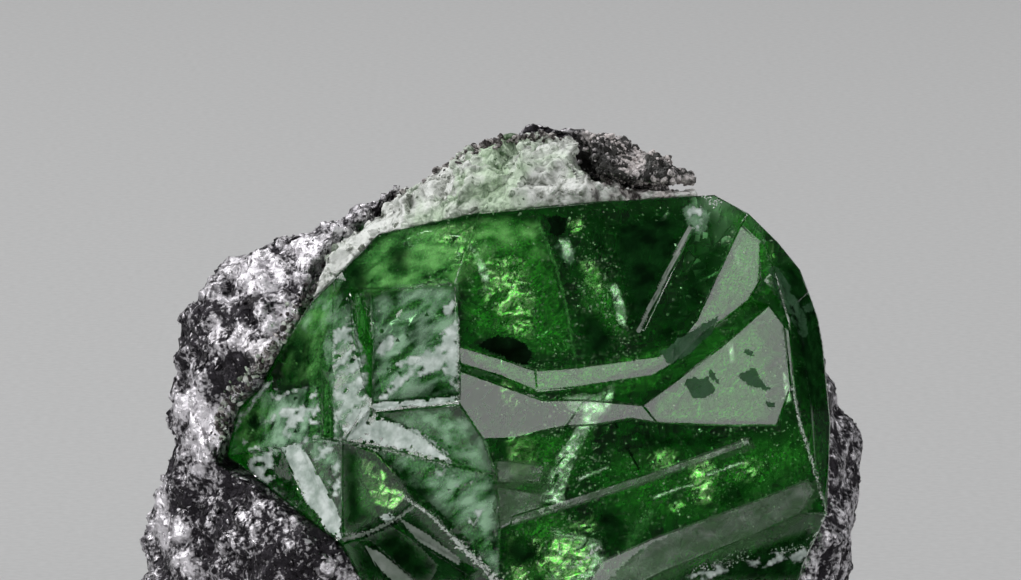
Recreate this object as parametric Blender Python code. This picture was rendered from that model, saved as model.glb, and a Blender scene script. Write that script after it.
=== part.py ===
"""Tsavorite garnet crystal standing in a loose piece of its graphite matrix.

The specimen has three grown pieces: the clear green garnet, the graphite that holds it, and a crust
of pale quartz along the garnet's upper left edge. +Z is up, the front faces -Y, and the specimen
rests on its flat broken face at z = 0. Shapes are drawn in millimetres and scaled to metres last.

The garnet's front is a map of facets, drawn as seen along a line of sight that looks down on the
specimen a little. On that map u runs to the right and v runs up, both from the middle of the view.
"""

import math

import bmesh
import bpy
import numpy as np
from mathutils import Matrix, Vector, geometry, noise

METRES = 0.001

# Shift, after drawing, that puts the middle of the specimen's extent at x = 0 and y = 0
SPECIMEN_SHIFT = (0.29, -0.69, 0.0)

# Line of sight
SIGHT_DIP = math.radians(8.0)
SIGHT_HEIGHT = 24.0

# Garnet
RIDGE_POINT = (-2.2, -5.6)
RIDGE_DEPTH = -11.0
GARNET_FAR_END = 22.0
STIFFNESS = 10.0
SMALL_FACET = 3.0
SEAM = 0.05
RIM_ROUNDING = 0.12
CORNER_STEP = 0.45

# Matrix and crust
CLEARANCE = 0.32
BASE_HEIGHT = 0.0
MATRIX_CENTRE = (0.0, 12.5)
MATRIX_FRONT = -6.5
MATRIX_WAIST = 1.5
MATRIX_BACK = 13.0
RING_POINTS = 72
RINGS = 24
MESH_STEP = 1.15
LUMP_SIZE = 5.2
LUMP_HEIGHT = 0.9
GRAIN_SIZE = 2.3
GRAIN_HEIGHT = 0.42
LAYER_PITCH = 3.3
LAYER_HEIGHT = 0.55
LAYER_TILT = (68, 14)
FIELD_SHIFT = Vector((11.3, 4.7, 27.9))

# Outer edge of the garnet, clockwise from the left of its top edge
GARNET_RIM = [
    (-8.0, 1.0), (-6.25, 2.75), (-3.75, 3.3), (-1.3, 3.8), (4.75, 4.35), (10.35, 4.7),
    (12.0, 3.8), (13.5, 2.35), (14.6, 1.0), (15.5, -1.4), (15.75, -2.75), (16.1, -6.5),
    (15.85, -11.0), (14.75, -13.5), (14.25, -15.5), (12.75, -18.0), (9.75, -20.0),
    (4.75, -20.75), (-0.25, -20.25), (-3.75, -18.25), (-6.5, -15.25), (-8.0, -12.5),
    (-10.0, -11.1), (-12.15, -9.5), (-13.85, -8.25), (-13.25, -5.9), (-12.15, -4.9),
    (-11.0, -2.75), (-9.75, -0.75),
]

# Facets of the garnet's front: name, azimuth and elevation of the outward normal in degrees, and
# outline. Azimuth is 0 towards the front and grows to the right. A later facet is cut into the
# earlier ones, and an outline may run past the rim.
FACETS = [
    ("main", 8, 10, GARNET_RIM),
    ("upper right", 6, 30, [
        (-2.4, 0.25), (-1.3, 3.8), (-1.3, 7.0), (12.0, 7.0), (12.0, 3.8), (11.65, 3.2), (10.35, 0.5),
        (9.45, -1.45), (8.35, -2.8), (7.5, -3.25), (3.55, -3.8), (1.5, -3.95), (-0.25, -3.35),
        (-2.25, -2.75)]),
    ("lower right", 22, -28, [
        (-0.25, -17.0), (4.25, -15.5), (7.75, -13.8), (12.25, -12.0), (14.5, -11.0),
        (15.85, -11.0), (18.0, -12.0), (18.0, -22.0), (-0.25, -23.0)]),
    ("side", 64, 10, [
        (12.0, 3.8), (12.65, 3.1), (13.25, 1.0), (14.0, -2.0), (14.25, -5.0), (14.75, -7.25),
        (15.35, -9.5), (15.85, -11.0), (18.0, -11.0), (18.0, 5.0), (12.0, 5.0)]),
    ("upper side", 50, 30, [
        (12.0, 3.8), (12.65, 3.1), (13.25, 1.0), (14.1, -0.8), (15.2, 0.0), (18.0, 1.0),
        (18.0, 6.0), (12.0, 6.0)]),
    ("side bevel", 42, 5, [
        (13.25, 1.0), (14.1, -0.8), (14.75, -3.0), (15.1, -5.6), (15.35, -9.5), (14.75, -7.25),
        (14.25, -5.0), (14.0, -2.0)]),
    ("upper left", -40, 20, [
        (-2.4, 0.25), (-2.25, -2.75), (-2.2, -3.6), (-2.2, -3.95), (-2.2, -5.35), (-6.5, -5.8),
        (-7.95, -7.4), (-10.25, -7.5), (-11.1, -7.75), (-15.0, -8.6), (-15.0, 7.0), (-1.3, 7.0),
        (-1.3, 3.8)]),
    ("outer left", -48, 12, [
        (-8.35, 1.1), (-8.6, -2.75), (-8.4, -5.5), (-7.95, -7.4), (-10.25, -7.5), (-11.1, -7.75),
        (-15.0, -8.6), (-15.0, 7.0), (-9.0, 5.0)]),
    ("etched right", -19, 16, [
        (-6.6, -0.1), (-6.45, -2.75), (-6.5, -5.8), (-2.2, -5.35), (-2.2, -3.95), (-2.2, -3.6),
        (-2.25, -2.75), (-2.4, 0.25)]),
    ("top left", -14, 40, [
        (-2.4, 0.25), (-1.3, 3.8), (-1.3, 7.0), (-9.0, 5.0), (-8.0, 1.0), (-7.65, 0.0),
        (-7.05, 0.0), (-5.0, 0.0), (-3.0, 0.6)]),
    ("left", -50, 6, [
        (-10.25, -7.5), (-7.95, -7.4), (-8.0, -12.5), (-15.0, -13.5), (-15.0, -8.6),
        (-11.1, -7.75)]),
    ("left strip", -42, 20, [
        (-11.1, -7.75), (-10.25, -7.5), (-8.1, -11.9), (-8.0, -12.5), (-9.0, -11.7),
        (-10.25, -9.75)]),
    ("left foot", -58, -6, [
        (-11.1, -7.75), (-10.25, -9.75), (-9.0, -11.7), (-10.0, -13.0), (-15.0, -9.5),
        (-15.0, -8.6)]),
    ("inner left", -18, 3, [
        (-2.2, -5.6), (-1.05, -7.3), (-0.4, -9.0), (-0.25, -11.7), (-0.25, -14.4),
        (-1.75, -12.75), (-3.5, -11.0), (-4.5, -10.3), (-5.25, -9.25), (-6.35, -8.0),
        (-7.95, -7.4), (-6.5, -5.8)]),
    ("triangle", -33, -16, [
        (-6.35, -6.05), (-2.2, -5.6), (-1.05, -7.3), (-0.4, -9.0), (-2.45, -8.4)]),
    ("bright strip", -40, 22, [
        (-7.95, -7.4), (-6.5, -5.8), (-6.35, -6.05), (-4.0, -7.15), (-2.45, -8.4),
        (-3.75, -8.35), (-5.5, -7.8)]),
    ("thin edge", -22, 28, [(-6.5, -5.8), (-2.2, -5.35), (-2.2, -5.6), (-6.35, -6.05)]),
    ("lower left", -24, -18, [
        (-8.0, -12.5), (-5.5, -11.5), (-4.5, -10.3), (-3.5, -11.0), (-1.75, -12.75),
        (-0.25, -14.4), (-0.25, -17.0), (-0.25, -23.0), (-12.0, -22.0)]),
    ("window", -12, -8, [
        (-7.95, -7.4), (-6.35, -8.0), (-5.25, -9.25), (-4.5, -10.3), (-5.5, -11.5),
        (-8.0, -12.5)]),
    ("long sliver", -8, 17, [(-6.2, -11.25), (-5.55, -11.3), (-1.4, -13.7), (-1.8, -14.0)]),
    ("broad sliver", -8, 17, [(-7.1, -12.4), (-6.6, -12.35), (-3.4, -15.2), (-5.2, -15.4)]),
    ("first ledge", 58, -4, [
        (-7.65, 0.0), (-7.05, 0.0), (-6.5, -2.75), (-6.6, -5.2), (-6.85, -4.75),
        (-7.45, -2.25)]),
    ("second ledge", 50, -4, [(-9.05, -4.0), (-8.65, -4.75), (-8.5, -7.2), (-9.0, -7.2)]),
    ("riser", 10, 48, [
        (-2.2, -3.6), (-0.25, -4.2), (1.55, -4.95), (3.55, -4.75), (7.25, -4.2), (8.25, -3.6),
        (9.75, -2.1), (10.85, -1.4), (12.0, -0.5), (13.0, -0.75), (10.75, -2.7),
        (8.35, -4.5), (6.75, -5.65), (3.9, -5.4), (1.85, -5.4), (-0.25, -4.65),
        (-2.2, -3.95)]),
    ("shoulder", 34, 28, [
        (11.65, 3.2), (12.0, 3.8), (12.65, 3.1), (13.25, 1.0), (14.0, -2.0), (13.75, -1.75),
        (13.0, -0.75), (12.0, -0.5), (12.6, 0.5), (12.6, 2.35)]),
    ("upper band left", 4, 19, [
        (-2.25, -2.75), (-0.25, -3.35), (1.5, -3.95), (1.55, -4.95), (-0.25, -4.2),
        (-2.2, -3.6)]),
    ("upper band", 7, 19, [
        (1.5, -3.95), (3.55, -3.8), (7.5, -3.25), (8.35, -2.8), (8.25, -3.6), (7.25, -4.2),
        (3.55, -4.75), (1.55, -4.95)]),
    ("leaf", 18, 19, [
        (8.35, -2.8), (9.45, -1.45), (10.35, 0.5), (11.65, 3.2), (12.6, 2.35), (12.6, 0.5),
        (12.0, -0.5), (10.85, -1.4), (9.75, -2.1), (8.25, -3.6)]),
    ("lower band left", 4, 19, [
        (-2.2, -3.95), (-0.25, -4.65), (1.85, -5.4), (3.9, -5.4), (3.0, -6.65),
        (1.75, -6.9), (0.5, -7.25), (-1.05, -7.3), (-2.2, -5.6), (-2.2, -5.35)]),
    ("lower band", 7, 19, [
        (3.9, -5.4), (6.75, -5.65), (7.45, -6.5), (6.2, -6.3), (4.35, -6.6), (3.0, -6.65)]),
    ("wedge", 11, 19, [
        (6.75, -5.65), (8.35, -4.5), (10.75, -2.7), (13.0, -0.75), (13.75, -1.75),
        (14.05, -4.75), (13.35, -6.65), (10.75, -6.65), (7.45, -6.5)]),
    ("first step", 4, 19, [(-0.4, -8.3), (1.9, -8.6), (1.7, -9.4), (-0.35, -9.3)]),
    ("second step", 4, 19, [(-0.35, -9.6), (1.9, -10.0), (1.6, -10.9), (-0.25, -11.7)]),
    ("long step", 8, 20, [
        (0.3, -11.1), (3.5, -10.1), (6.75, -9.1), (12.0, -7.3), (12.0, -7.62),
        (6.75, -9.47), (3.5, -10.5), (0.3, -11.5)]),
    ("broad band", 14, 18, [
        (4.75, -13.3), (7.25, -12.2), (12.0, -10.5), (14.9, -9.35), (15.2, -9.8),
        (14.5, -11.0), (12.25, -12.0), (7.75, -13.8), (4.25, -15.5), (3.4, -15.4)]),
    ("slanting step", -6, 19, [(9.12, 3.1), (9.35, 3.0), (6.82, -1.95), (6.6, -1.85)]),
]

# Hidden facets of the garnet: azimuth and elevation of the outward normal, and its distance from
# the garnet's middle
GARNET_MIDDLE = Vector((1.2, 0.0, 16.5))
BACK_FACETS = [
    (180, 4, 9.5), (128, 8, 11.6), (-128, -4, 12.2), (158, 44, 11.2), (-156, 42, 11.0),
    (165, -44, 11.4), (-140, -40, 12.0), (112, 32, 14.2), (100, -24, 14.6), (-92, 34, 14.2),
    (-98, -22, 14.6), (150, 76, 12.9),
]

# Outer edge of the matrix at its widest, in x and z, clockwise from the lower left
MATRIX_OUTLINE = [
    (-16.4, 0.0), (-18.0, 4.7), (-18.8, 8.2), (-18.7, 11.8), (-18.1, 13.3), (-16.9, 16.4),
    (-17.2, 17.6), (-16.5, 19.2), (-16.6, 21.4), (-15.2, 24.4), (-13.6, 25.5),
    (-12.0, 26.1), (-8.25, 27.1), (-6.25, 28.0), (-3.25, 29.9), (-0.25, 31.5), (1.75, 31.8),
    (4.0, 32.0), (6.25, 31.3), (9.25, 29.7), (10.3, 28.5), (12.2, 25.4), (14.8, 22.9),
    (15.9, 21.4), (16.5, 19.2), (17.4, 17.3), (18.0, 15.0), (18.1, 12.4), (17.7, 9.6),
    (17.0, 6.0), (16.0, 2.6), (14.4, 0.0), (8.0, -2.5), (-8.0, -2.5),
]

# Swellings and hollows of the matrix's front: u, v, reach and how far they stand forward
MATRIX_SWELLINGS = [
    (-9.5, -14.5, 5.0, 4.2), (-12.0, -22.0, 5.0, 1.5), (0.0, -24.0, 8.0, 5.0),
    (12.0, -20.0, 6.0, 4.2), (17.0, -11.0, 4.0, 2.0), (6.0, 6.4, 4.0, 1.2),
]

# Broken faces of the matrix: azimuth, elevation and distance from the middle of the specimen
SPECIMEN_MIDDLE = Vector((0.0, 1.5, 13.0))
BROKEN_FACES = [
    (172, 12, 11.6), (-140, 24, 13.8), (128, 30, 14.2), (-96, -14, 18.3), (146, -22, 14.4),
]

# Outline of the quartz crust as seen from the front, and its sloping back faces: azimuth,
# elevation and distance from the middle of the view
CRUST_OUTLINE = [
    (-10.1, -1.0), (-9.3, 0.9), (-8.8, 2.5), (-7.4, 3.7), (-5.3, 4.8), (-4.2, 7.5),
    (-0.5, 10.5), (3.6, 10.5), (3.9, 6.6), (4.5, 5.4), (6.6, 5.15), (9.6, 5.2), (10.1, 4.0),
    (4.0, 2.0), (-5.0, 1.0), (-8.0, -1.5),
]
CRUST_BACKS = [(168, 12, 4.6), (-125, 10, 7.0)]

PALETTE = {
    "tsavorite_crystal": ((0.02, 0.24, 0.03, 1.0), 0.06, 0.0, 1.0),
    "graphite_matrix": ((0.16, 0.15, 0.16, 1.0), 0.38, 0.85, 0.0),
    "quartz_rind": ((0.50, 0.56, 0.47, 1.0), 0.45, 0.0, 0.0),
}


def direction(azimuth, elevation):
    """Return the unit vector of an azimuth and elevation in degrees."""
    turn = math.radians(azimuth)
    rise = math.radians(elevation)
    flat = math.cos(rise)
    return Vector((math.sin(turn) * flat, -math.cos(turn) * flat, math.sin(rise)))


def sight_point(u, v, depth):
    """Return the point at (u, v) on the map of the front, at a depth along Y."""
    height = SIGHT_HEIGHT + (v - depth * math.sin(SIGHT_DIP)) / math.cos(SIGHT_DIP)
    return Vector((u, depth, height))


def depth_slopes(azimuth, elevation):
    """Return how fast a plane's depth grows along u and along v."""
    normal = direction(azimuth, elevation)
    across = normal.y - normal.z * math.tan(SIGHT_DIP)
    return -normal.x / across, -normal.z / (math.cos(SIGHT_DIP) * across)


def turns_left(outline):
    """Return whether an outline runs anticlockwise."""
    count = len(outline)
    doubled = 0.0
    for i in range(count):
        here = outline[i]
        after = outline[(i + 1) % count]
        doubled += here[0] * after[1] - after[0] * here[1]
    return doubled > 0


def facet_mesh():
    """Lay the facet outlines over one another and return points, triangles and their facets."""
    points = []
    edges = []
    faces = []
    for _, _, _, outline in FACETS:
        start = len(points)
        count = len(outline)
        loop = outline if turns_left(outline) else list(reversed(outline))
        points += [Vector(corner) for corner in loop]
        edges += [(start + i, start + (i + 1) % count) for i in range(count)]
        faces.append(list(range(start, start + count)))
    result = geometry.delaunay_2d_cdt(points, edges, faces, 1, 0.02)
    laid_points, _, laid_faces, _, _, owners = result
    kept = [(face, max(owner)) for face, owner in zip(laid_faces, owners) if 0 in owner]
    triangles = [face for face, _ in kept]
    facets = [facet for _, facet in kept]
    return laid_points, triangles, facets


def edge_owners(triangles):
    """Return, for each directed edge, the triangle that runs along it."""
    owners = {}
    for index, triangle in enumerate(triangles):
        for i in range(3):
            owners[triangle[i], triangle[(i + 1) % 3]] = index
    return owners


def solve_planes(points, triangles, facets):
    """Return each facet's plane, close to its own tilt and where it meets its neighbours best."""
    owners = edge_owners(triangles)
    rows = []
    targets = []

    def add_row(terms, target, weight):
        row = np.zeros(3 * len(FACETS))
        for column, factor in terms:
            row[column] += factor * weight
        rows.append(row)
        targets.append(target * weight)

    for (a, b), index in owners.items():
        other = owners.get((b, a))
        if other is None or facets[other] <= facets[index]:
            continue
        here = 3 * facets[index]
        there = 3 * facets[other]
        weight = math.sqrt((points[b] - points[a]).length)
        for u, v in (points[a], points[b]):
            add_row([(here, u), (here + 1, v), (here + 2, 1.0), (there, -u),
                     (there + 1, -v), (there + 2, -1.0)], 0.0, weight)
    areas = [0.0] * len(FACETS)
    for triangle, facet in zip(triangles, facets):
        a, b, c = (points[i] for i in triangle)
        areas[facet] += abs((b - a).cross(c - a)) / 2
    for facet, (_, azimuth, elevation, _) in enumerate(FACETS):
        slopes = depth_slopes(azimuth, elevation)
        for k in range(2):
            size = max(areas[facet], SMALL_FACET)
            add_row([(3 * facet + k, 1.0)], slopes[k], math.sqrt(STIFFNESS * size))
    add_row([(0, RIDGE_POINT[0]), (1, RIDGE_POINT[1]), (2, 1.0)], RIDGE_DEPTH, 100.0)
    solution = np.linalg.lstsq(np.array(rows), np.array(targets), rcond=None)[0]
    return solution.reshape(len(FACETS), 3)


def plane_depth(plane, point):
    """Return the depth of a facet's plane at a point of the map."""
    return plane[0] * point.x + plane[1] * point.y + plane[2]


def corner_groups(point, triangles, facets, owners, spokes):
    """Return the triangles round a point in order, grouped by facet, and whether they close."""
    leading = {triangles[t][triangles[t].index(point) - 2]: t for t in spokes}
    start = next((a for a in leading if owners.get((a, point)) is None), None)
    closed = start is None
    ring = []
    here = next(iter(leading)) if closed else start
    while here in leading and len(ring) < len(spokes):
        triangle = leading[here]
        ring.append(triangle)
        here = triangles[triangle][triangles[triangle].index(point) - 1]
    groups = []
    for triangle in ring:
        if groups and facets[groups[-1][-1]] == facets[triangle]:
            groups[-1].append(triangle)
        else:
            groups.append([triangle])
    if closed and len(groups) > 1 and facets[groups[0][0]] == facets[groups[-1][0]]:
        groups[0] = groups.pop() + groups[0]
    return groups, closed


def inset_corner(points, triangles, point, group):
    """Return a corner of a facet, drawn in from the facet's two sides that meet there."""
    first = triangles[group[0]]
    last = triangles[group[-1]]
    along = points[first[first.index(point) - 2]] - points[point]
    back = points[last[last.index(point) - 1]] - points[point]
    turn = math.atan2(along.cross(back), along.dot(back)) % math.tau
    half = turn / 2
    heading = math.atan2(along.y, along.x) + half
    reach = SEAM / max(math.sin(half), 0.35)
    return points[point] + Vector((math.cos(heading), math.sin(heading))) * reach


def seamed_front(bm):
    """Build the garnet's front, with flat facets and a narrow slope along each seam."""
    points, triangles, facets = facet_mesh()
    planes = solve_planes(points, triangles, facets)
    owners = edge_owners(triangles)
    spokes = {}
    for index, triangle in enumerate(triangles):
        for point in triangle:
            spokes.setdefault(point, []).append(index)
    corner = {}
    outer = {}
    for point, around in spokes.items():
        groups, closed = corner_groups(point, triangles, facets, owners, around)
        meeting = [plane_depth(planes[facets[group[0]]], points[point]) for group in groups]
        middle = float(np.median(meeting))
        copies = []
        for group in groups:
            spot = points[point]
            if len(groups) > 1 or not closed:
                spot = inset_corner(points, triangles, point, group)
            depth = plane_depth(planes[facets[group[0]]], spot)
            depth = min(max(depth, middle - CORNER_STEP), middle + CORNER_STEP)
            vert = bm.verts.new(sight_point(spot.x, spot.y, depth))
            copies.append(vert)
            for triangle in group:
                corner[point, triangle] = vert
        if not closed:
            edge = sight_point(points[point].x, points[point].y, middle + RIM_ROUNDING)
            outer[point] = bm.verts.new(edge)
            copies.append(outer[point])
        if len(copies) > 2:
            bm.faces.new(copies)
    for index, triangle in enumerate(triangles):
        bm.faces.new([corner[point, index] for point in triangle])
    for (a, b), index in owners.items():
        other = owners.get((b, a))
        if other is None:
            bm.faces.new([corner[b, index], corner[a, index], outer[a], outer[b]])
        elif other > index and facets[other] != facets[index]:
            bm.faces.new([corner[b, index], corner[a, index], corner[a, other],
                          corner[b, other]])


def cut_off(bm, point, normal):
    """Remove what lies beyond a plane and close the cut with a flat face."""
    geom = bm.verts[:] + bm.edges[:] + bm.faces[:]
    cut = bmesh.ops.bisect_plane(bm, geom=geom, dist=1e-5, plane_co=point, plane_no=normal,
                                 clear_outer=True)
    rim = [item for item in cut["geom_cut"] if isinstance(item, bmesh.types.BMEdge)]
    open_rim = [edge for edge in rim if edge.is_valid and edge.is_boundary]
    if open_rim:
        bmesh.ops.edgeloop_fill(bm, edges=open_rim)


def cut_garnet_back(bm, clearance):
    """Cut the hidden facets into a body that runs straight back from the garnet's rim."""
    for azimuth, elevation, distance in BACK_FACETS:
        normal = direction(azimuth, elevation)
        cut_off(bm, GARNET_MIDDLE + normal * (distance + clearance), normal)


def finished_mesh(bm, name):
    """Close, orient and triangulate a body and return it as a mesh."""
    bmesh.ops.remove_doubles(bm, verts=bm.verts[:], dist=0.002)
    bmesh.ops.dissolve_degenerate(bm, edges=bm.edges[:], dist=0.002)
    bmesh.ops.triangulate(bm, faces=bm.faces[:])
    bmesh.ops.recalc_face_normals(bm, faces=bm.faces[:])
    mesh = bpy.data.meshes.new(name)
    bm.to_mesh(mesh)
    bm.free()
    return mesh


def garnet_mesh():
    """Build the garnet: mapped facets in front, straight sides, and cut facets behind."""
    bm = bmesh.new()
    seamed_front(bm)
    rim = [edge for edge in bm.edges if edge.is_boundary]
    extruded = bmesh.ops.extrude_edge_only(bm, edges=rim)
    far_verts = [item for item in extruded["geom"] if isinstance(item, bmesh.types.BMVert)]
    far_edges = [item for item in extruded["geom"] if isinstance(item, bmesh.types.BMEdge)]
    slope = math.tan(SIGHT_DIP)
    for vert in far_verts:
        vert.co.z -= (GARNET_FAR_END - vert.co.y) * slope
        vert.co.y = GARNET_FAR_END
    bmesh.ops.edgeloop_fill(bm, edges=[edge for edge in far_edges if edge.is_boundary])
    cut_garnet_back(bm, 0.0)
    return finished_mesh(bm, "tsavorite_crystal")


def grown_outline(outline, distance):
    """Move every side of a clockwise outline outwards by a distance."""
    grown = []
    count = len(outline)
    for i in range(count):
        before = Vector(outline[i - 1])
        here = Vector(outline[i])
        after = Vector(outline[(i + 1) % count])
        first = (here - before).normalized()
        second = (after - here).normalized()
        first_out = Vector((-first.y, first.x))
        second_out = Vector((-second.y, second.x))
        middle = (first_out + second_out).normalized()
        reach = distance / max(middle.dot(first_out), 0.5)
        grown.append(here + middle * reach)
    return grown


def sight_prism(outline, front, back):
    """Build a body that runs along the line of sight between two depths."""
    bm = bmesh.new()
    near = [bm.verts.new(sight_point(u, v, front)) for u, v in outline]
    far = [bm.verts.new(sight_point(u, v, front)) for u, v in outline]
    for vert in far:
        vert.co.y = back
        vert.co.z -= (back - front) * math.tan(SIGHT_DIP)
    count = len(outline)
    bm.faces.new(near)
    bm.faces.new(list(reversed(far)))
    for i in range(count):
        j = (i + 1) % count
        bm.faces.new([near[i], far[i], far[j], near[j]])
    bmesh.ops.recalc_face_normals(bm, faces=bm.faces[:])
    return bm


def pocket_mesh():
    """Build the room that the garnet needs in what surrounds it."""
    bm = sight_prism(grown_outline(GARNET_RIM, CLEARANCE), -30.0, 30.0)
    cut_garnet_back(bm, CLEARANCE)
    return finished_mesh(bm, "pocket")


def crust_room_mesh(clearance):
    """Build the room that the quartz crust takes out of the matrix."""
    bm = sight_prism(grown_outline(CRUST_OUTLINE, clearance), -30.0, 30.0)
    top = Vector((0.0, 0.0, SIGHT_HEIGHT))
    for azimuth, elevation, distance in CRUST_BACKS:
        normal = direction(azimuth, elevation)
        cut_off(bm, top + normal * (distance + clearance), normal)
    return finished_mesh(bm, "crust room")


def smooth_loop(corners, count):
    """Return evenly spaced points on a smooth closed curve through the corners."""
    fine = []
    size = len(corners)
    for i in range(size):
        p0, p1, p2, p3 = (Vector(corners[(i + k - 1) % size]) for k in range(4))
        for step in range(12):
            t = step / 12
            fine.append(0.5 * ((2 * p1) + (p2 - p0) * t + (2 * p0 - 5 * p1 + 4 * p2 - p3) * t * t
                               + (3 * p1 - p0 - 3 * p2 + p3) * t ** 3))
    lengths = [0.0]
    for i in range(len(fine)):
        lengths.append(lengths[-1] + (fine[(i + 1) % len(fine)] - fine[i]).length)
    stops = np.linspace(0.0, lengths[-1], count, endpoint=False)
    closed = np.array([tuple(point) for point in fine + fine[:1]])
    return [Vector((np.interp(stop, lengths, closed[:, 0]),
                    np.interp(stop, lengths, closed[:, 1]))) for stop in stops]


def ring_shape(step):
    """Return the depth and the size of one ring of the matrix, from its front to its back."""
    angle = math.pi * (step + 0.5) / RINGS
    along = -math.cos(angle)
    size = math.sin(angle)
    if along < 0:
        depth = MATRIX_WAIST + along * (MATRIX_WAIST - MATRIX_FRONT)
        return depth, size ** 0.86
    depth = MATRIX_WAIST + along * (MATRIX_BACK - MATRIX_WAIST)
    return depth, size ** 0.62


def swelling(point):
    """Return how far the matrix's front stands forward at a point."""
    v = (point.z - SIGHT_HEIGHT) * math.cos(SIGHT_DIP) + point.y * math.sin(SIGHT_DIP)
    total = 0.0
    for u_middle, v_middle, reach, height in MATRIX_SWELLINGS:
        away = math.hypot(point.x - u_middle, v - v_middle) / reach
        total += height * math.exp(-away * away)
    facing = min(max((MATRIX_WAIST + 2.0 - point.y) / 5.0, 0.0), 1.0)
    return total * facing


def lumps(point):
    """Return the height of the matrix's lumps, blocky grains and layer edges at a point."""
    shifted = point + FIELD_SHIFT * 10.0
    broad = noise.noise(shifted / LUMP_SIZE)
    distances, middles = noise.voronoi(shifted / GRAIN_SIZE)
    grain = noise.cell(middles[0] * 7.31)
    groove = min((distances[1] - distances[0]) * 3.0, 1.0)
    along = point.dot(direction(*LAYER_TILT)) + 0.9 * noise.noise(shifted / 6.5)
    turn = (along / LAYER_PITCH) % 1.0
    layer = min(turn / 0.65, (1.0 - turn) / 0.35)
    return (LUMP_HEIGHT * broad + GRAIN_HEIGHT * (grain * 0.7 + groove - 0.9)
            + LAYER_HEIGHT * (layer - 0.5))


def matrix_loft():
    """Build the smooth lump that the matrix is broken from, as rings from front to back."""
    loop = smooth_loop(MATRIX_OUTLINE, RING_POINTS)
    centre = Vector(MATRIX_CENTRE)
    bm = bmesh.new()
    rings = []
    for step in range(RINGS):
        depth, size = ring_shape(step)
        spots = [centre + (corner - centre) * size for corner in loop]
        rings.append([bm.verts.new((spot.x, depth, spot.y)) for spot in spots])
    for near, far in zip(rings, rings[1:]):
        for i in range(RING_POINTS):
            j = (i + 1) % RING_POINTS
            bm.faces.new([near[i], far[i], far[j], near[j]])
    bm.faces.new(rings[0])
    bm.faces.new(rings[-1][::-1])
    for azimuth, elevation, distance in BROKEN_FACES:
        flatten_beyond(bm, SPECIMEN_MIDDLE, direction(azimuth, elevation), distance)
    for vert in bm.verts:
        vert.co.y -= swelling(vert.co)
    return finished_mesh(bm, "matrix loft")


def flatten_beyond(bm, middle, normal, distance):
    """Press what lies beyond a plane back to it, as on a broken face."""
    for vert in bm.verts:
        beyond = (vert.co - middle).dot(normal) - distance
        if beyond > 0:
            vert.co -= normal * beyond * 0.9


def even_mesh(mesh):
    """Return the same shape with faces of one size all over."""
    obj = bpy.data.objects.new("even", mesh)
    bpy.context.scene.collection.objects.link(obj)
    modifier = obj.modifiers.new("even", "REMESH")
    modifier.mode = "VOXEL"
    modifier.voxel_size = MESH_STEP
    return evaluated_mesh(obj)


def matrix_body():
    """Build the whole lump of matrix before anything is taken out of it."""
    bm = bmesh.new()
    bm.from_mesh(even_mesh(matrix_loft()))
    bm.normal_update()
    moves = [(vert, vert.normal * lumps(vert.co)) for vert in bm.verts]
    for vert, move in moves:
        vert.co += move
    cut_off(bm, Vector((0.0, 0.0, BASE_HEIGHT)), Vector((0.0, 0.0, -1.0)))
    return finished_mesh(bm, "matrix body")


def evaluated_mesh(obj):
    """Return an object's mesh with its modifiers in it, and take the object away."""
    graph = bpy.context.evaluated_depsgraph_get()
    result = bpy.data.meshes.new_from_object(obj.evaluated_get(graph))
    bpy.data.objects.remove(obj)
    return result


def combine(mesh, other, operation):
    """Return the exact Boolean of two meshes as a new mesh."""
    base = bpy.data.objects.new("base", mesh)
    tool = bpy.data.objects.new("tool", other)
    for obj in (base, tool):
        bpy.context.scene.collection.objects.link(obj)
    modifier = base.modifiers.new("cut", "BOOLEAN")
    modifier.operation = operation
    modifier.solver = "EXACT"
    modifier.object = tool
    result = evaluated_mesh(base)
    bpy.data.objects.remove(tool)
    return result


def largest_body(mesh):
    """Keep only the largest connected body of a mesh, and tidy its faces."""
    bm = bmesh.new()
    bm.from_mesh(mesh)
    bmesh.ops.remove_doubles(bm, verts=bm.verts[:], dist=0.004)
    bmesh.ops.dissolve_degenerate(bm, edges=bm.edges[:], dist=0.004)
    left = set(bm.verts)
    bodies = []
    while left:
        stack = [left.pop()]
        body = set(stack)
        while stack:
            for edge in stack.pop().link_edges:
                for vert in edge.verts:
                    if vert in left:
                        left.discard(vert)
                        body.add(vert)
                        stack.append(vert)
        bodies.append(body)
    largest = max(bodies, key=len)
    bmesh.ops.delete(bm, geom=[v for v in bm.verts if v not in largest], context="VERTS")
    return finished_mesh(bm, mesh.name)


def material(name):
    """Return the plain material of a piece."""
    colour, roughness, metallic, clear = PALETTE[name]
    made = bpy.data.materials.new(name)
    made.use_nodes = True
    shader = made.node_tree.nodes["Principled BSDF"]
    shader.inputs["Base Color"].default_value = colour
    shader.inputs["Roughness"].default_value = roughness
    shader.inputs["Metallic"].default_value = metallic
    shader.inputs["Transmission Weight"].default_value = clear
    made.diffuse_color = colour
    return made


def place(name, mesh):
    """Shift a mesh, scale it to metres and put it in the scene as a named piece."""
    mesh.transform(Matrix.Scale(METRES, 4) @ Matrix.Translation(SPECIMEN_SHIFT))
    mesh.name = name
    mesh.materials.clear()
    mesh.materials.append(material(name))
    obj = bpy.data.objects.new(name, mesh)
    bpy.context.scene.collection.objects.link(obj)
    return obj


def build():
    """Model the whole specimen."""
    for obj in list(bpy.data.objects):
        bpy.data.objects.remove(obj)
    body = matrix_body()
    around = combine(body, pocket_mesh(), "DIFFERENCE")
    matrix = combine(around, crust_room_mesh(CLEARANCE), "DIFFERENCE")
    crust = combine(around, crust_room_mesh(0.0), "INTERSECT")
    place("tsavorite_crystal", garnet_mesh())
    place("graphite_matrix", largest_body(matrix))
    place("quartz_rind", largest_body(crust))


build()
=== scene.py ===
import math

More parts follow.
